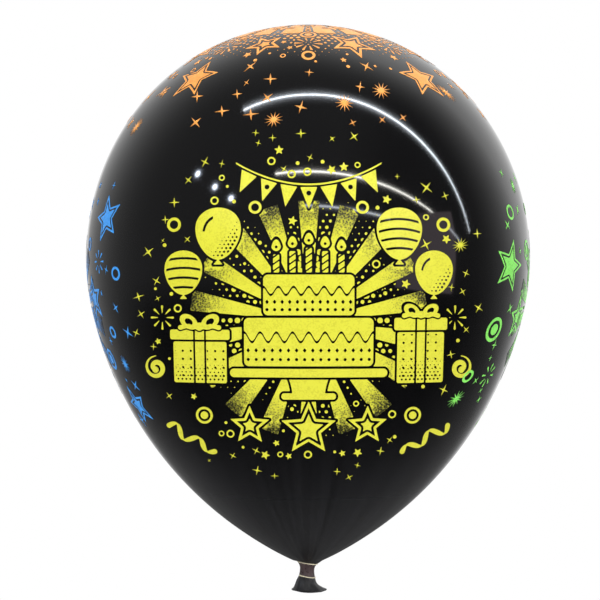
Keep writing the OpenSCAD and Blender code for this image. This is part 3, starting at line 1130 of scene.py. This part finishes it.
# %% End of the turn at the back
def twisted_end():
    """A tube round a slanting path on the hollow, thin and sunk at both ends."""
    along = np.linspace(0, 1, 40)[:, None]
    section = round_axis(16)
    z = (turn_low + 0.3 * MM) + (turn_high - turn_low - 0.6 * MM) * along
    direction = math.pi / 2 - (z / MM) * math.tan(math.radians(18)) / 5
    from_middle = 2 * along - 1
    centre_r = hollow(z) + 0.15 * MM - 0.75 * MM * from_middle ** 4
    radius = 1.05 * MM * (1 - 0.9 * from_middle ** 8) * (1 + 0.13 * np.cos(3 * section + 9 * along))
    across = radius * np.cos(section)
    away = centre_r + radius * np.sin(section)
    x = away * np.cos(direction) - across * np.sin(direction)
    y = away * np.sin(direction) + across * np.cos(direction)
    grid = np.stack([x, y, np.broadcast_to(z, x.shape)], -1)
    points = settle(np.concatenate([grid.reshape(-1, 3), [grid[0].mean(0), grid[-1].mean(0)]]))
    index = np.arange(x.size).reshape(x.shape)
    faces = quads(index).tolist()
    for middle, row in ((x.size, index[0, ::-1]), (x.size + 1, index[-1])):
        faces += [(middle, a, b) for a, b in zip(row, np.roll(row, -1))]
    return new_piece("knot_end", points, faces, sheer_latex)


def face_outwards(piece):
    """Turns every face of a closed piece outwards."""
    work = bmesh.new()
    work.from_mesh(piece.data)
    bmesh.ops.recalc_face_normals(work, faces=work.faces)
    work.to_mesh(piece.data)
    work.free()


knot_end = twisted_end()
face_outwards(knot_end)
stands_for(knot_end, "knot_bight", "knot_latex", "knot")
strand_slots = frame["nodes"]["knot_strand"].data.materials
strand_slots.clear()
strand_slots.append(sheer_latex)

# %% [markdown]
# ## The tail
# Below the knot the slack end flares out to its mouth. It goes on along the same hollow as the knot, but
# it isn't round: one side falls straight and the other swings out to a point. So its radius is the
# hollow's plus a correction that depends on the direction. Soft folds run down it and fade at the mouth,
# where the film is rolled into a bead.
# The tail is cut into two pieces of film, which hang on no body, and a rim that rides on the tail. Their
# rows slant as the knot does, and a shoulder at the front and the back takes the film out past the knot's
# edge.

# %% Tail film
mouth_z = -13.75 * MM
limp_z = -8.8 * MM
rim_z = -12.6 * MM
tail_sides = 160
tail_wall = 0.5 * MM


def tail_radius(angles, z):
    """The flare: nearly straight on the left, swung out to a point on the right, with soft folds."""
    t = np.clip((band_bottom - z) / (band_bottom - mouth_z), 0, 1.1)
    flare = 2.2 * t + 3.5 * t ** 2 + (1.5 * t ** 2 - 1.7 * t) * np.cos(angles)
    tip = 1.2 * t ** 8 * peak(angles, 0, 0.32)
    folds = 0.12 * np.cos(6 * angles + 0.8) + 0.08 * np.cos(11 * angles + 2.0) + 0.04 * np.cos(23 * angles)
    folds = folds * np.sin(math.pi * np.clip(t, 0, 1))
    shoulder = 0.7 * np.sin(angles) ** 2 * (t / 0.2) * np.exp(1 - t / 0.2)
    straightened = 1.1 * (1 - np.cos(angles)) * t ** 2 * (1 - t)
    return hollow(band_bottom) + MM * (flare + tip + folds + shoulder - straightened)


def mouth_lift(angles):
    """How much the rim rises and falls on its way round."""
    waves = 0.3 * np.cos(2 * angles - 1.05) + 0.06 * np.cos(5 * angles) + 0.35 * np.sin(angles)
    return MM * (waves - 0.2 * peak(angles, 0, 0.4))


def tail_film(name, low, high, rows):
    """The flare between two heights."""
    angles = round_axis(tail_sides)
    z = np.linspace(low, high, rows)[:, None]
    lifted = z + mouth_lift(angles) * smooth_step(limp_z, mouth_z, z)
    return thicken(skin(name, turned(angles, tail_radius(angles, z), lifted), slack_latex), tail_wall)


def bend_square(piece, high):
    """Bakes a piece's place into its mesh. The start that it works out from the height is not used."""
    start = settle(np.array([0, 0, high]))
    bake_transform(piece)


limp_upper = tail_film("tail_limp_upper", limp_z, band_bottom, 17)
bend_square(limp_upper, band_bottom)
stands_for(limp_upper, "tail_film", "slack_latex")
limp_lower = tail_film("tail_limp_lower", rim_z, limp_z, 17)
bend_square(limp_lower, limp_z - 0.45 * MM)
stands_for(limp_lower, "tail_skirt", "slack_latex")
stands_for(tail_film("tail_flare", mouth_z, rim_z, 8), "tail_skirt", "slack_latex", "tail")

# %% Rolled mouth
def rolled_mouth():
    """The bead: film rolled on itself, uneven in thickness, with a shallow groove where the roll ends."""
    angles = round_axis(tail_sides)
    section = round_axis(20)[:, None]
    uneven = 0.12 * np.cos(4 * angles + 0.5) + 0.06 * np.cos(9 * angles) - 0.4 * peak(angles, 0, 0.4)
    swell = 0.45 * MM * (1 + uneven) * (1 - 0.12 * peak(section, 2.2, 0.25))
    r = tail_radius(angles, mouth_z) - tail_wall / 2 + swell * np.cos(section)
    z = mouth_z + mouth_lift(angles) + swell * np.sin(section)
    return skin("tail_rolled_mouth", turned(angles, r, z), slack_latex, ring=True)


stands_for(rolled_mouth(), "mouth_bead", "slack_latex", "tail")

# %% [markdown]
# ## Printing ink
# The print is a rubber-based screen ink, put on while the film was small. It stretches with the film, so
# its solid colour turns a little uneven: fine pinholes where the mesh of the screen left less ink, and a
# soft satin sheen that is duller than the bare latex. The screen's threads are 0.1 mm apart and can't be
# seen, so the pattern here is drawn at about 1 mm, which is as coarse as it needs to be to show. Where a
# shape fades out, the ink breaks up into specks and the black film shows between them.

# %% Ink material
def screen_ink(name, solid, thin):
    """Opaque ink with a mottled, slightly thinner tone here and there."""
    material, tree = new_material(name)
    place = position(tree)[0]
    mottle = add(tree, "ShaderNodeTexNoise", {"Vector": place, "Scale": 140.0, "Detail": 3.0})
    grain = add(tree, "ShaderNodeTexVoronoi", {"Vector": place, "Scale": 900.0})["Distance"]
    tone = add(tree, "ShaderNodeMix", {
        0: fade(mottle * grain, 0.22, 0.42), 6: srgb(solid), 7: srgb(thin)}, data_type="RGBA")[2]
    cover = add(tree, "ShaderNodeAttribute", attribute_name="ink_cover")["Fac"]
    hidden = add(tree, "ShaderNodeMapRange", {0: (grain - 0.4) * 0.9 + cover, 1: 0.1, 2: 0.75})
    rubber_skin(tree, [srgb("#0E0E10"), tone], hidden, mottle * 0.14 + 0.3, grain, 0.2, 0.03 * MM, ink_ior)
    return material


ink_ior = 1.5
inks = {colour: screen_ink("rubber_ink_" + colour, *tones) for colour, tones in {
    "yellow": ("#DEDC36", "#D2CF2C"), "pink": ("#F0559C", "#DC4489"), "blue": ("#3CA2FA", "#3090E6"),
    "green": ("#8CF066", "#78DA54"), "orange": ("#FFAC50", "#EE9A42")}.items()}
print("inks:", list(inks))

# %% [markdown]
# ## Loose marks
# Between the pictures lie many small marks: dots, rings and stars like confetti. They go where the sheet
# is still bare. A seeded random choice tries places one after another and keeps those with room round
# them, so the print fills up evenly and comes out the same on every run.

# %% Confetti
def confetti(sheet, tries, seed, inside):
    """Stamps small marks in bare places of a region, and says how many."""
    draw = np.random.default_rng(seed)
    kept = 0
    for number in range(tries):
        u, v = (draw.uniform(axis[0] + sheet_margin, axis[-1] - sheet_margin)
                for axis in (sheet.u, sheet.v))
        shape, reach = small_marks[number % len(small_marks)]
        if inside(u, v) and sheet.room(u, v, sheet.edge) > reach + mark_gap:
            sheet.stamp(shape, u, v, reach + 9, turn=draw.uniform(0, 72))
            kept += 1
    return kept


sheet_margin = 8
mark_gap = 1.2
small_marks = [(ring(2.6, 1.0), 2.6), (plain_star(3.2), 3.2), (plain_star(1.3, 8, 0.9), 1.3),
               (ring(1.9, 0.8), 1.9), (plain_star(1.0, 8, 0.9), 1.0), (plain_star(2.4), 2.4)]
print("confetti has", len(small_marks), "kinds of mark")

# %% [markdown]
# ## The party picture
# The front and the back carry the same picture in two colours: a cake on its stand with presents and
# toy balloons to both sides, a line of flags above and a row of stars below, on a cloud of dots that
# grow towards the middle. Shadows are made of bare dots, since each side is printed in one ink only.

# %% Party picture
def cloud_of_dots(u, v):
    """Radius of the dots behind the cake: large near it, gone at the rim, in rays."""
    r = np.hypot(u, (v + 6) * 1.05)
    around = np.arctan2(v + 6, u)
    lobes = 0.8 + 0.2 * np.cos(5 * around + 0.6)
    rays = 0.78 + 0.22 * np.tanh(5 * np.cos(14 * around))
    return 2.0 * rays * (1 - (r - 42) / (50 * lobes)) - 0.15


def party_picture():
    """The cake, with presents, toy balloons, flags, stars and curls round it."""
    sheet = Sheet(236)
    sheet.stamp(fan(26, 74, 18, 0.5), 0, -8, 78, cover=fading(42, 74))
    for side in (-1, 1):
        sheet.stamp(swirl(7.5, 3.2, side * 520), side * 97, -38, 12)
        sheet.stamp(streamer(2, 34, 3.4, 4.2), side * 60, -92, 44, turn=90 - side * 62)
        for r, striped, x, y in ((14, side > 0, 56, 46), (12, side < 0, 78, 22)):
            motif = toy_balloon(r, stripes=True) if striped else shaded(toy_balloon(r), -40, 0, r - 1)
            sheet.stamp(motif, side * x, y, r + 10)
        for motif, x, y, reach in ((outlined_star(13), 37, -74, 19), (target(5.5), 66, -68, 10),
                                   (ring(4.5, 1.8), 84, 52, 9), (ring(4, 1.6), 33, 62, 8),
                                   (burst(7), 92, -6, 11)):
            sheet.stamp(motif, side * x, y, reach)
    sheet.stamp(shaded(gift(34, 26), -90, -20, 26), -68, -47, 62)
    sheet.stamp(shaded(gift(30, 32), -90, -24, 30), 70, -47, 62)
    sheet.stamp(shaded(outlined_star(18), -90, 2, 18), 0, -76, 24)
    sheet.stamp(bunting(84, 12, 7), 0, 88, 62)
    sheet.stamp(cake, 0, -16, 92)
    print("confetti on the party picture:", confetti(sheet, 450, 11, within(46, 100)))
    sheet.stamp_behind(halftone(dot_spacing, cloud_of_dots), 0, 0, 116)
    return sheet


dot_spacing = 4.4
party = party_picture()

# %% Side picture
def side_dots(u, v):
    """Radius of the dots among the stars: large in the middle, gone at the rim, in four lobes."""
    r = np.hypot(u / 1.1, v)
    return 1.9 * (1 - r / 44) + 0.3 * np.cos(4 * np.arctan2(v, u)) - 0.1


def side_picture():
    """Stars of several sizes among rings and targets, on a small cloud of dots."""
    sheet = Sheet(206)
    sheet.stamp(fan(15, 50, 12, 0.5), 0, 0, 56, cover=fading(20, 48))
    sheet.stamp(swirl(9.5, 4.0, 500), -24, 22, 14, turn=20)
    sheet.stamp(swirl(9, 3.8, -500), 24, -8, 14, turn=200)
    for u, v, r in ((0, 44, 19), (-46, -6, 15), (44, 6, 16), (4, -48, 14)):
        sheet.stamp(shaded(outlined_star(r), -60, 0, r), u, v, r + 6, turn=3 * u % 17 - 8)
    for u, v, r in ((-73, 27, 18), (52, -64, 13), (70, 58, 16)):
        sheet.stamp(outlined_star(r, 1.1), u, v, r + 6, turn=u / 5)
    for u, v, r in ((-2, 4, 9), (42, -34, 7), (-40, 38, 7), (-78, -14, 8)):
        sheet.stamp(target(r), u, v, r + 5)
    for u, v, r in ((-22, -30, 4.5), (24, -22, 4), (40, 42, 4.5), (-24, 66, 4), (64, -16, 4),
                    (84, 22, 4.5), (-68, 62, 5), (-84, -44, 4)):
        sheet.stamp(ring(r, 1.6), u, v, r + 5)
    for u, v in ((-62, -44), (62, 30)):
        sheet.stamp(burst(7), u, v, 11)
    in_middle = lambda u, v: (u / 34) ** 2 + (v / 60) ** 2 < 1
    print("confetti on the side picture:", confetti(sheet, 120, 23, in_middle))
    sheet.stamp_behind(halftone(dot_spacing, side_dots), 0, 0, 60)
    return sheet


side = side_picture()

# %% Crown picture
def crown_dots(u, v):
    """Radius of the dots among the stars, largest at the wedges and gone at the outside."""
    r = np.hypot(u, v)
    return np.clip(2.0 * (96 - r) / 34, -0.3, 1.9) * (0.8 + 0.2 * np.cos(8 * np.arctan2(v, u))) - 0.2


def squeezed_star(u, v):
    """A flatter star, for the shoulder of the crown, where the film then stretches it."""
    return outlined_star(18, 1.1)(u, v * 1.35)


def crown_picture():
    """Stars, targets and curls in circles round a sun of wedges on the tip of the crown."""
    sheet = Sheet(252)
    sheet.stamp(fan(23, 57, 2 * crown_parts, 0.66), 0, 0, 62, cover=fading(46, 16))
    sheet.stamp(ring(18, 3), 0, 0, 24)
    for i in range(crown_parts):
        out = (i + 0.5) * 360 / crown_parts
        between = out + 180 / crown_parts
        sheet.stamp(burst(8.5, 10), *polar(74, between), 12, turn=out)
        size = 13 if i % 2 else 16
        sheet.stamp(shaded(outlined_star(size), 90, 0, size), *polar(74, out), 22, turn=out - 90)
        sheet.stamp(plain_star(7, 4, 0.3), *polar(42, out), 11, turn=out)
        sheet.stamp(ring(4, 1.6), *polar(32, between), 8)
        sheet.stamp(target(5.5), *polar(60, between), 10)
        if i % 2:
            sheet.stamp(ring(4.5, 1.8), *polar(88, between), 9)
        else:
            sheet.stamp(squeezed_star, *polar(103, between), 23, turn=between + 90)
    print("confetti on the crown picture:", confetti(sheet, 300, 37, within(62, 100)))
    sheet.stamp_behind(halftone(dot_spacing, crown_dots), 0, 0, 110)
    return sheet


crown_parts = 8
crown = crown_picture()

# %% Lay the five prints
print_z = 178 * MM
# Each print has its node, its sheet, the direction that it faces, None being up, and its ink.
prints = [("front_print", party, 0, "yellow"), ("back_print", party, 180, "pink"),
          ("left_print", side, -90, "blue"), ("right_print", side, 90, "green"),
          ("crown_print", crown, None, "orange")]
for node, sheet, facing, colour in prints:
    lay = on_crown if facing is None else on_side(facing, print_z)
    stands_for(lay_ink(node + "_ink", sheet, lay, inks[colour]), node, colour + "_ink", "balloon")

# %% [markdown]
# ## Sparkles
# Fine crosses and bursts of rays twinkle round every picture. They are many copies of two small shapes,
# so a node tree scatters them. It reads points that carry a size, a turn and a slimness, puts a four-ray
# or a twelve-ray star on each, turns the lot to face a side, and casts a ray from every corner onto the
# film, which bends the flat stars to its curve. An extrusion and a flipped copy of the base close them.

# %% Sparkle tree
def ray_star(tree, rays, inner):
    """A filled star with slim rays, one metre long until it is scaled."""
    outline = add(tree, "GeometryNodeCurveStar", {
        "Points": rays, "Inner Radius": inner, "Outer Radius": 1.0})
    return add(tree, "GeometryNodeFillCurve", {0: outline})


def sparkle_tree():
    """Puts a star on each point, turns the flat stars to face a side and casts them onto the film."""
    tree, given = empty_tree("sparkles_on_film", {
        "Turn To Face": (0.0, 0.0, 0.0), "Start": (0.0, 0.0, 0.0), "Ray": (0.0, 1.0, 0.0),
        "Lift": ink_lift, "Thickness": ink_thickness, "Material": "NodeSocketMaterial",
        "Film": "NodeSocketObject"})
    size, slimness, turn, many_rays = (
        add(tree, "GeometryNodeInputNamedAttribute", {"Name": label}, data_type="FLOAT")
        for label in ("size", "slimness", "turn", "many_rays"))
    scale = add(tree, "ShaderNodeCombineXYZ", {0: size, 1: size * slimness, 2: 1.0})
    spin = add(tree, "ShaderNodeCombineXYZ", {2: turn})
    stars = []
    for rays, inner, wanted in ((4, 0.2, 0.0), (12, 0.28, 1.0)):
        pick = add(tree, "FunctionNodeCompare", {"A": many_rays, "B": wanted, "Epsilon": 0.1},
                   operation="EQUAL")
        stars.append(add(tree, "GeometryNodeInstanceOnPoints", {
            "Points": given["Geometry"], "Selection": pick, "Instance": ray_star(tree, rays, inner),
            "Rotation": spin, "Scale": scale}))
    flat = add(tree, "GeometryNodeRealizeInstances", {0: add(tree, "GeometryNodeJoinGeometry", {0: stars})})
    covered = add(tree, "GeometryNodeStoreNamedAttribute", {
        "Geometry": flat, "Name": "ink_cover", "Value": 1.0}, data_type="FLOAT")
    facing = add(tree, "GeometryNodeTransform", {
        "Geometry": covered, "Translation": given["Start"], "Rotation": given["Turn To Face"]})
    film = add(tree, "GeometryNodeObjectInfo", {"Object": given["Film"]}, transform_space="ORIGINAL")
    hit = add(tree, "GeometryNodeRaycast", {
        "Target Geometry": film["Geometry"], "Ray Direction": given["Ray"], "Ray Length": 1.0})
    off = add(tree, "ShaderNodeVectorMath", {0: hit["Hit Normal"], "Scale": given["Lift"]},
              operation="SCALE")
    place = add(tree, "ShaderNodeVectorMath", {0: hit["Hit Position"], 1: off}, operation="ADD")
    base = add(tree, "GeometryNodeSetPosition", {"Geometry": facing, "Position": place})
    raised = add(tree, "GeometryNodeExtrudeMesh", {
        "Mesh": base, "Offset Scale": given["Thickness"], "Individual": False}, mode="FACES")
    under = add(tree, "GeometryNodeFlipFaces", {0: base})
    return finished(tree, welded(tree, [raised, under], 0.004 * MM), given["Material"])


sparkles_on_film = sparkle_tree()
print("sparkle tree has", len(sparkles_on_film.nodes), "nodes")

# %% [markdown]
# The places come from one loose ring round each picture, and from a seeded random choice that keeps to
# the bare ground. The largest are bursts.

# %% Places for the sparkles
clearance = 0.8
sparkle_gap = 2.5


def ring_of_places(sheet, across, count):
    """Places in a loose ring, as wide as the picture, where they clear what is there."""
    places = []
    for i in range(count):
        around = i * 360 / count + 9 * math.sin(math.radians(i * 137))
        stretch = 1 + 0.09 * math.sin(math.radians(i * 211))
        u, v = polar(across / 2 * stretch, around)
        size = 3.6 + 2 * math.sin(math.radians(i * 97))
        if sheet.room(u, v, sheet.ink) > clearance * size:
            places.append((u, v, size))
    return places


def bare_places(sheet, places, seed, count, inside, across=(-118, 118), along=(-118, 118)):
    """Adds random places on bare ground inside a region, with sizes that leave room."""
    draw = np.random.default_rng(seed)
    count += len(places)
    for _ in range(40 * count):
        u, v, size = draw.uniform(*across), draw.uniform(*along), draw.uniform(2.4, 6.0)
        clear = sheet.room(u, v, sheet.ink) > clearance * size
        apart = all(math.hypot(u - a, v - b) > size + c + sparkle_gap for a, b, c in places)
        if len(places) < count and inside(u, v) and clear and apart:
            places.append((u, v, size))
    return places


outer_crown = [(*polar(97, (i + 0.5) * 360 / crown_parts), 5.0) for i in range(crown_parts)]
round_party = bare_places(party, ring_of_places(party, 216, 22), 5, 36, within(80, 112))
round_side = bare_places(side, ring_of_places(side, 155, 11), 6, 22,
                         lambda u, v: 40 < math.hypot(u, v) and abs(u) < 86 and -84 < v < 92)
round_crown = bare_places(crown, outer_crown, 7, 10, within(98, 112))
under_crown = lambda u, v: abs(u) < 0.66 * radius_at(print_z + v * MM) / MM
all_places = [round_party, round_party, round_side, round_side, round_crown]
print("places round the pictures:", [len(places) for places in all_places])

# %% Scatter the sparkles
burst_from = 5.2
ray_start = 0.5


def sparkles(name, places, facing, seed, material):
    """One mesh of sparkles on the side of the film that they face."""
    draw = np.random.default_rng(seed)
    points = bpy.data.meshes.new(name + "_places")
    points.from_pydata([(u * MM, v * MM, 0) for u, v, size in places], [], [])
    values = {"size": [size * MM for u, v, size in places], "turn": draw.uniform(0, 1.6, len(places)),
              "slimness": draw.uniform(0.75, 1.1, len(places)),
              "many_rays": [float(size > burst_from) for u, v, size in places]}
    for label, numbers in values.items():
        points.attributes.new(label, "FLOAT", "POINT").data.foreach_set("value", numbers)
    if facing is None:
        out, middle, turn = np.array([0, 0, 1]), np.zeros(3), (0.0, 0.0, 0.0)
    else:
        out, middle = facing_axes(facing)[1], np.array([0, 0, print_z])
        turn = (math.pi / 2, 0.0, math.radians(facing))
    return run_tree(name, sparkles_on_film, {
        "Turn To Face": turn, "Start": tuple(middle + ray_start * out), "Ray": tuple(-1.0 * out),
        "Material": material, "Film": envelope}, points)


scatter = [(node, places, facing, colour)
           for (node, sheet, facing, colour), places in zip(prints, all_places)]
for facing in (0, 90, 180, -90):
    places = bare_places(party, [], 40 + facing // 90, 15, under_crown, (-100, 100), (114, 148))
    scatter.append(("crown_print", places, facing, "orange"))
for number, (node, places, facing, colour) in enumerate(scatter):
    piece = sparkles("%s_sparkles_%d" % (node, number), places, facing, number, inks[colour])
    stands_for(piece, node, colour + "_ink", "balloon")

# %% [markdown]
# ## The studio
# Black latex has hardly any colour of its own, so its picture is made by what it mirrors: a bright
# backdrop behind it whitens its rim, a darker room before it leaves its middle black, and a few lamps
# draw lines and spots on it. The world does the first two by the direction of a mirrored ray. Where the
# camera looks past the object it sees plain white, and where light falls on rough surfaces it is even.
# The inks need that even light, so the soft lamps in front aren't mirrored at all.

# %% World
def studio_world():
    """A room for mirrored rays, and plain white for all the others."""
    world = bpy.data.worlds.new("studio_world")
    scene.world = world
    world.use_nodes = True
    tree = world.node_tree
    tree.nodes.clear()
    x, y, z = add(tree, "ShaderNodeSeparateXYZ", {0: add(tree, "ShaderNodeTexCoord")["Generated"]})
    # A mirrored ray that goes back meets the backdrop, which is brighter to the right and higher up.
    behind, above = (add(tree, "ShaderNodeMath", {0: value, 1: 0.0}, operation="MAXIMUM")
                     for value in (y, z + 0.1))
    lit = behind ** 2 * (fade(x, -0.2, 0.5) * 0.5 + 0.28) * (above * 4 + 1)
    # The room in front is dim, darker on the right, and straight back the backdrop shines.
    dark_right = fade(x, 0.2, 0.7)
    level = dark_right * -0.1 + 0.2 + lit + fade(y, 0.92, 0.99) * 0.6
    # Rays that go down end on a dark floor.
    below = behind * 0.2 + 0.03
    mixed = level + (below - level) * fade(z, -0.05, -0.4)
    room = add(tree, "ShaderNodeMath", {0: mixed, 1: 1.0}, operation="MINIMUM")
    # The camera sees white past the object, and rough surfaces get an even light.
    rays = add(tree, "ShaderNodeLightPath")
    seen = add(tree, "ShaderNodeMath", {0: rays["Is Camera Ray"], 1: rays["Is Transmission Ray"]},
               operation="MAXIMUM")
    plain_white = seen * (1 - even_light) + even_light
    strength = plain_white + (room - plain_white) * rays["Is Glossy Ray"]
    background = add(tree, "ShaderNodeBackground", {"Color": (1, 1, 1, 1), "Strength": strength})
    add(tree, "ShaderNodeOutputWorld", {0: background})


even_light = 0.5
studio_world()
scene.view_settings.view_transform = "Standard"
print("world is ready")

# %% Floor
floor_z = -0.5
floor_size = 40.0


def white_paper():
    """White, and for the camera half of its own light, so that it meets the white behind it."""
    material, tree = new_material("studio_white_paper")
    paper = add(tree, "ShaderNodeBsdfDiffuse", {"Color": srgb("#F2F2F2")})
    glow = add(tree, "ShaderNodeEmission", {"Color": (1, 1, 1, 1), "Strength": 1.0})
    away = add(tree, "ShaderNodeVectorMath", {0: position(tree)[0]}, operation="LENGTH")["Value"]
    share = (fade(away, 0.8, 2.6) * 0.5 + 0.5) * add(tree, "ShaderNodeLightPath")["Is Camera Ray"]
    both = add(tree, "ShaderNodeMixShader", {0: share, 1: paper, 2: glow})
    add(tree, "ShaderNodeOutputMaterial", {0: both})
    return material


def flat_piece(name, corners, material):
    """One flat face through corners."""
    return new_piece(name, corners, [range(len(corners))], material)


half = floor_size / 2
floor_corners = [(x * half, y * half, floor_z) for x, y in ((-1, -1), (1, -1), (1, 1), (-1, 1))]
floor = flat_piece("studio_floor", floor_corners, white_paper())
floor.visible_glossy = False
print("floor at", floor_z, "m")

# %% [markdown]
# ## Mirrored lamps
# Two long tube lamps run over the table with two fainter ones, three small bulbs hang to the left, and a
# dim window stands to the right. Each glows and is seen only in mirrors. The round film bends the
# straight tubes into arcs.

# %% Glow of a lamp
halo_share = 0.23


def only_mirrored(piece):
    """Hides a lamp from everything but mirrored rays."""
    for rays in ("camera", "diffuse", "shadow", "transmission"):
        setattr(piece, "visible_" + rays, False)


def glow_material(name, colour, centre, along, core_r, glow_r, strength):
    """A bright core round a line or a point, and a halo that dies away from it into clear air."""
    material, tree = new_material(name)
    off = add(tree, "ShaderNodeVectorMath", {0: position(tree)[0], 1: tuple(centre)}, operation="SUBTRACT")
    if along is not None:
        off = add(tree, "ShaderNodeVectorMath", {0: off, 1: tuple(along)}, operation="CROSS_PRODUCT")
    away = add(tree, "ShaderNodeVectorMath", {0: off}, operation="LENGTH")["Value"]
    core = fade(away, 1.4 * core_r, 0.6 * core_r)
    halo = add(tree, "ShaderNodeMapRange", {0: away, 1: glow_r, 2: 0.0}) ** 6
    level = halo * (halo_share * strength) + core * strength
    glow = add(tree, "ShaderNodeEmission", {"Color": srgb(colour), "Strength": level})
    both = add(tree, "ShaderNodeAddShader", {0: glow, 1: add(tree, "ShaderNodeBsdfTransparent")})
    add(tree, "ShaderNodeOutputMaterial", {0: both})
    return material


print("a halo starts at", halo_share, "of its lamp's strength")

# %% Lamps seen in the film
lamp_distance = 3.0
balloon_middle = np.array([0, 0, equator_z])


def tube_lamp(name, start, end, r, glow_r, colour, strength):
    """A straight tube between two places seen from the middle of the balloon, as a strip that faces it."""
    start, end = np.array(start) + balloon_middle, np.array(end) + balloon_middle
    along = (end - start) / np.linalg.norm(end - start)
    aside = np.cross(along, start - balloon_middle)
    aside *= glow_r / np.linalg.norm(aside)
    corners = [start - aside, end - aside, end + aside, start + aside]
    material = glow_material(name + "_glow", colour, start, along, r, glow_r, strength)
    only_mirrored(flat_piece(name, corners, material))


def bulb(name, direction, r, glow_r, colour, strength):
    """A round lamp that faces the balloon."""
    toward = np.array(direction) / np.linalg.norm(direction)
    east = np.cross((0, 0, 1), toward)
    east /= np.linalg.norm(east)
    north = np.cross(toward, east)
    centre = balloon_middle + lamp_distance * toward
    rim = [centre + x * east + y * north for x, y in (polar(glow_r, a) for a in range(0, 360, 15))]
    material = glow_material(name + "_glow", colour, centre, None, r, glow_r, strength)
    only_mirrored(flat_piece(name, rim, material))


cool_white = "#EEF6FF"
tube_lamp("lamp_tube_far", (-0.97, -0.46, 2.0), (14.0, -0.02, 2.0), 0.012, 0.32, cool_white, 46.0)
tube_lamp("lamp_tube_near", (-0.57, -1.69, 1.3), (4.25, -1.70, 1.3), 0.012, 0.2, "#FAF8F0", 38.0)
tube_lamp("lamp_tube_faint", (-0.11, -2.78, 1.14), (1.92, -2.17, 0.81), 0.02, 0.2, cool_white, 13.0)
tube_lamp("lamp_tube_short", (2.85, -0.77, 0.54), (2.95, -0.46, 0.28), 0.018, 0.12, cool_white, 7.0)
for number, direction in enumerate([(-0.77, -0.35, 0.53), (-0.69, -0.54, 0.47), (-0.60, -0.69, 0.41)]):
    bulb("lamp_bulb_%d" % number, direction, 0.056, 0.3, "#E0ECFF", 60.0)
print("mirrored lamps hang", lamp_distance, "m away")

# %% Window
def dim_window(azimuths, elevations):
    """An upright window, between two directions right of the camera's and two elevations."""
    material, tree = new_material("dim_window")
    glow = add(tree, "ShaderNodeEmission", {"Color": srgb("#D0C0C8"), "Strength": 1.4})
    add(tree, "ShaderNodeOutputMaterial", {0: glow})
    corners = []
    for i, j in ((0, 0), (1, 0), (1, 1), (0, 1)):
        x, y = polar(lamp_distance, azimuths[i] - 90)
        z = lamp_distance * math.tan(math.radians(elevations[j]))
        corners.append(balloon_middle + np.array([x, y, z]))
    only_mirrored(flat_piece("lamp_window", corners, material))


dim_window((44, 78), (-13, 16))
print("one window on the right")

# %% Soft lamps
def soft_lamp(name, place, size, power):
    """A large even lamp aimed at the balloon, which no surface mirrors."""
    data = bpy.data.lights.new(name, "AREA")
    data.size = size
    data.energy = power
    lamp = bpy.data.objects.new(name, data)
    lamp.location = place
    aim = Vector(balloon_middle) - Vector(place)
    lamp.rotation_euler = aim.to_track_quat("-Z", "Y").to_euler()
    lamp.visible_glossy = False
    scene.collection.objects.link(lamp)


soft_lamp("soft_front_left", (-1.6, -2.6, 1.6), 1.6, 44)
soft_lamp("soft_front_right", (2.0, -2.2, 1.0), 1.6, 32)
soft_lamp("soft_above", (0.0, 0.3, 3.0), 2.0, 40)
soft_lamp("soft_behind", (0.4, 2.8, 1.4), 2.0, 60)
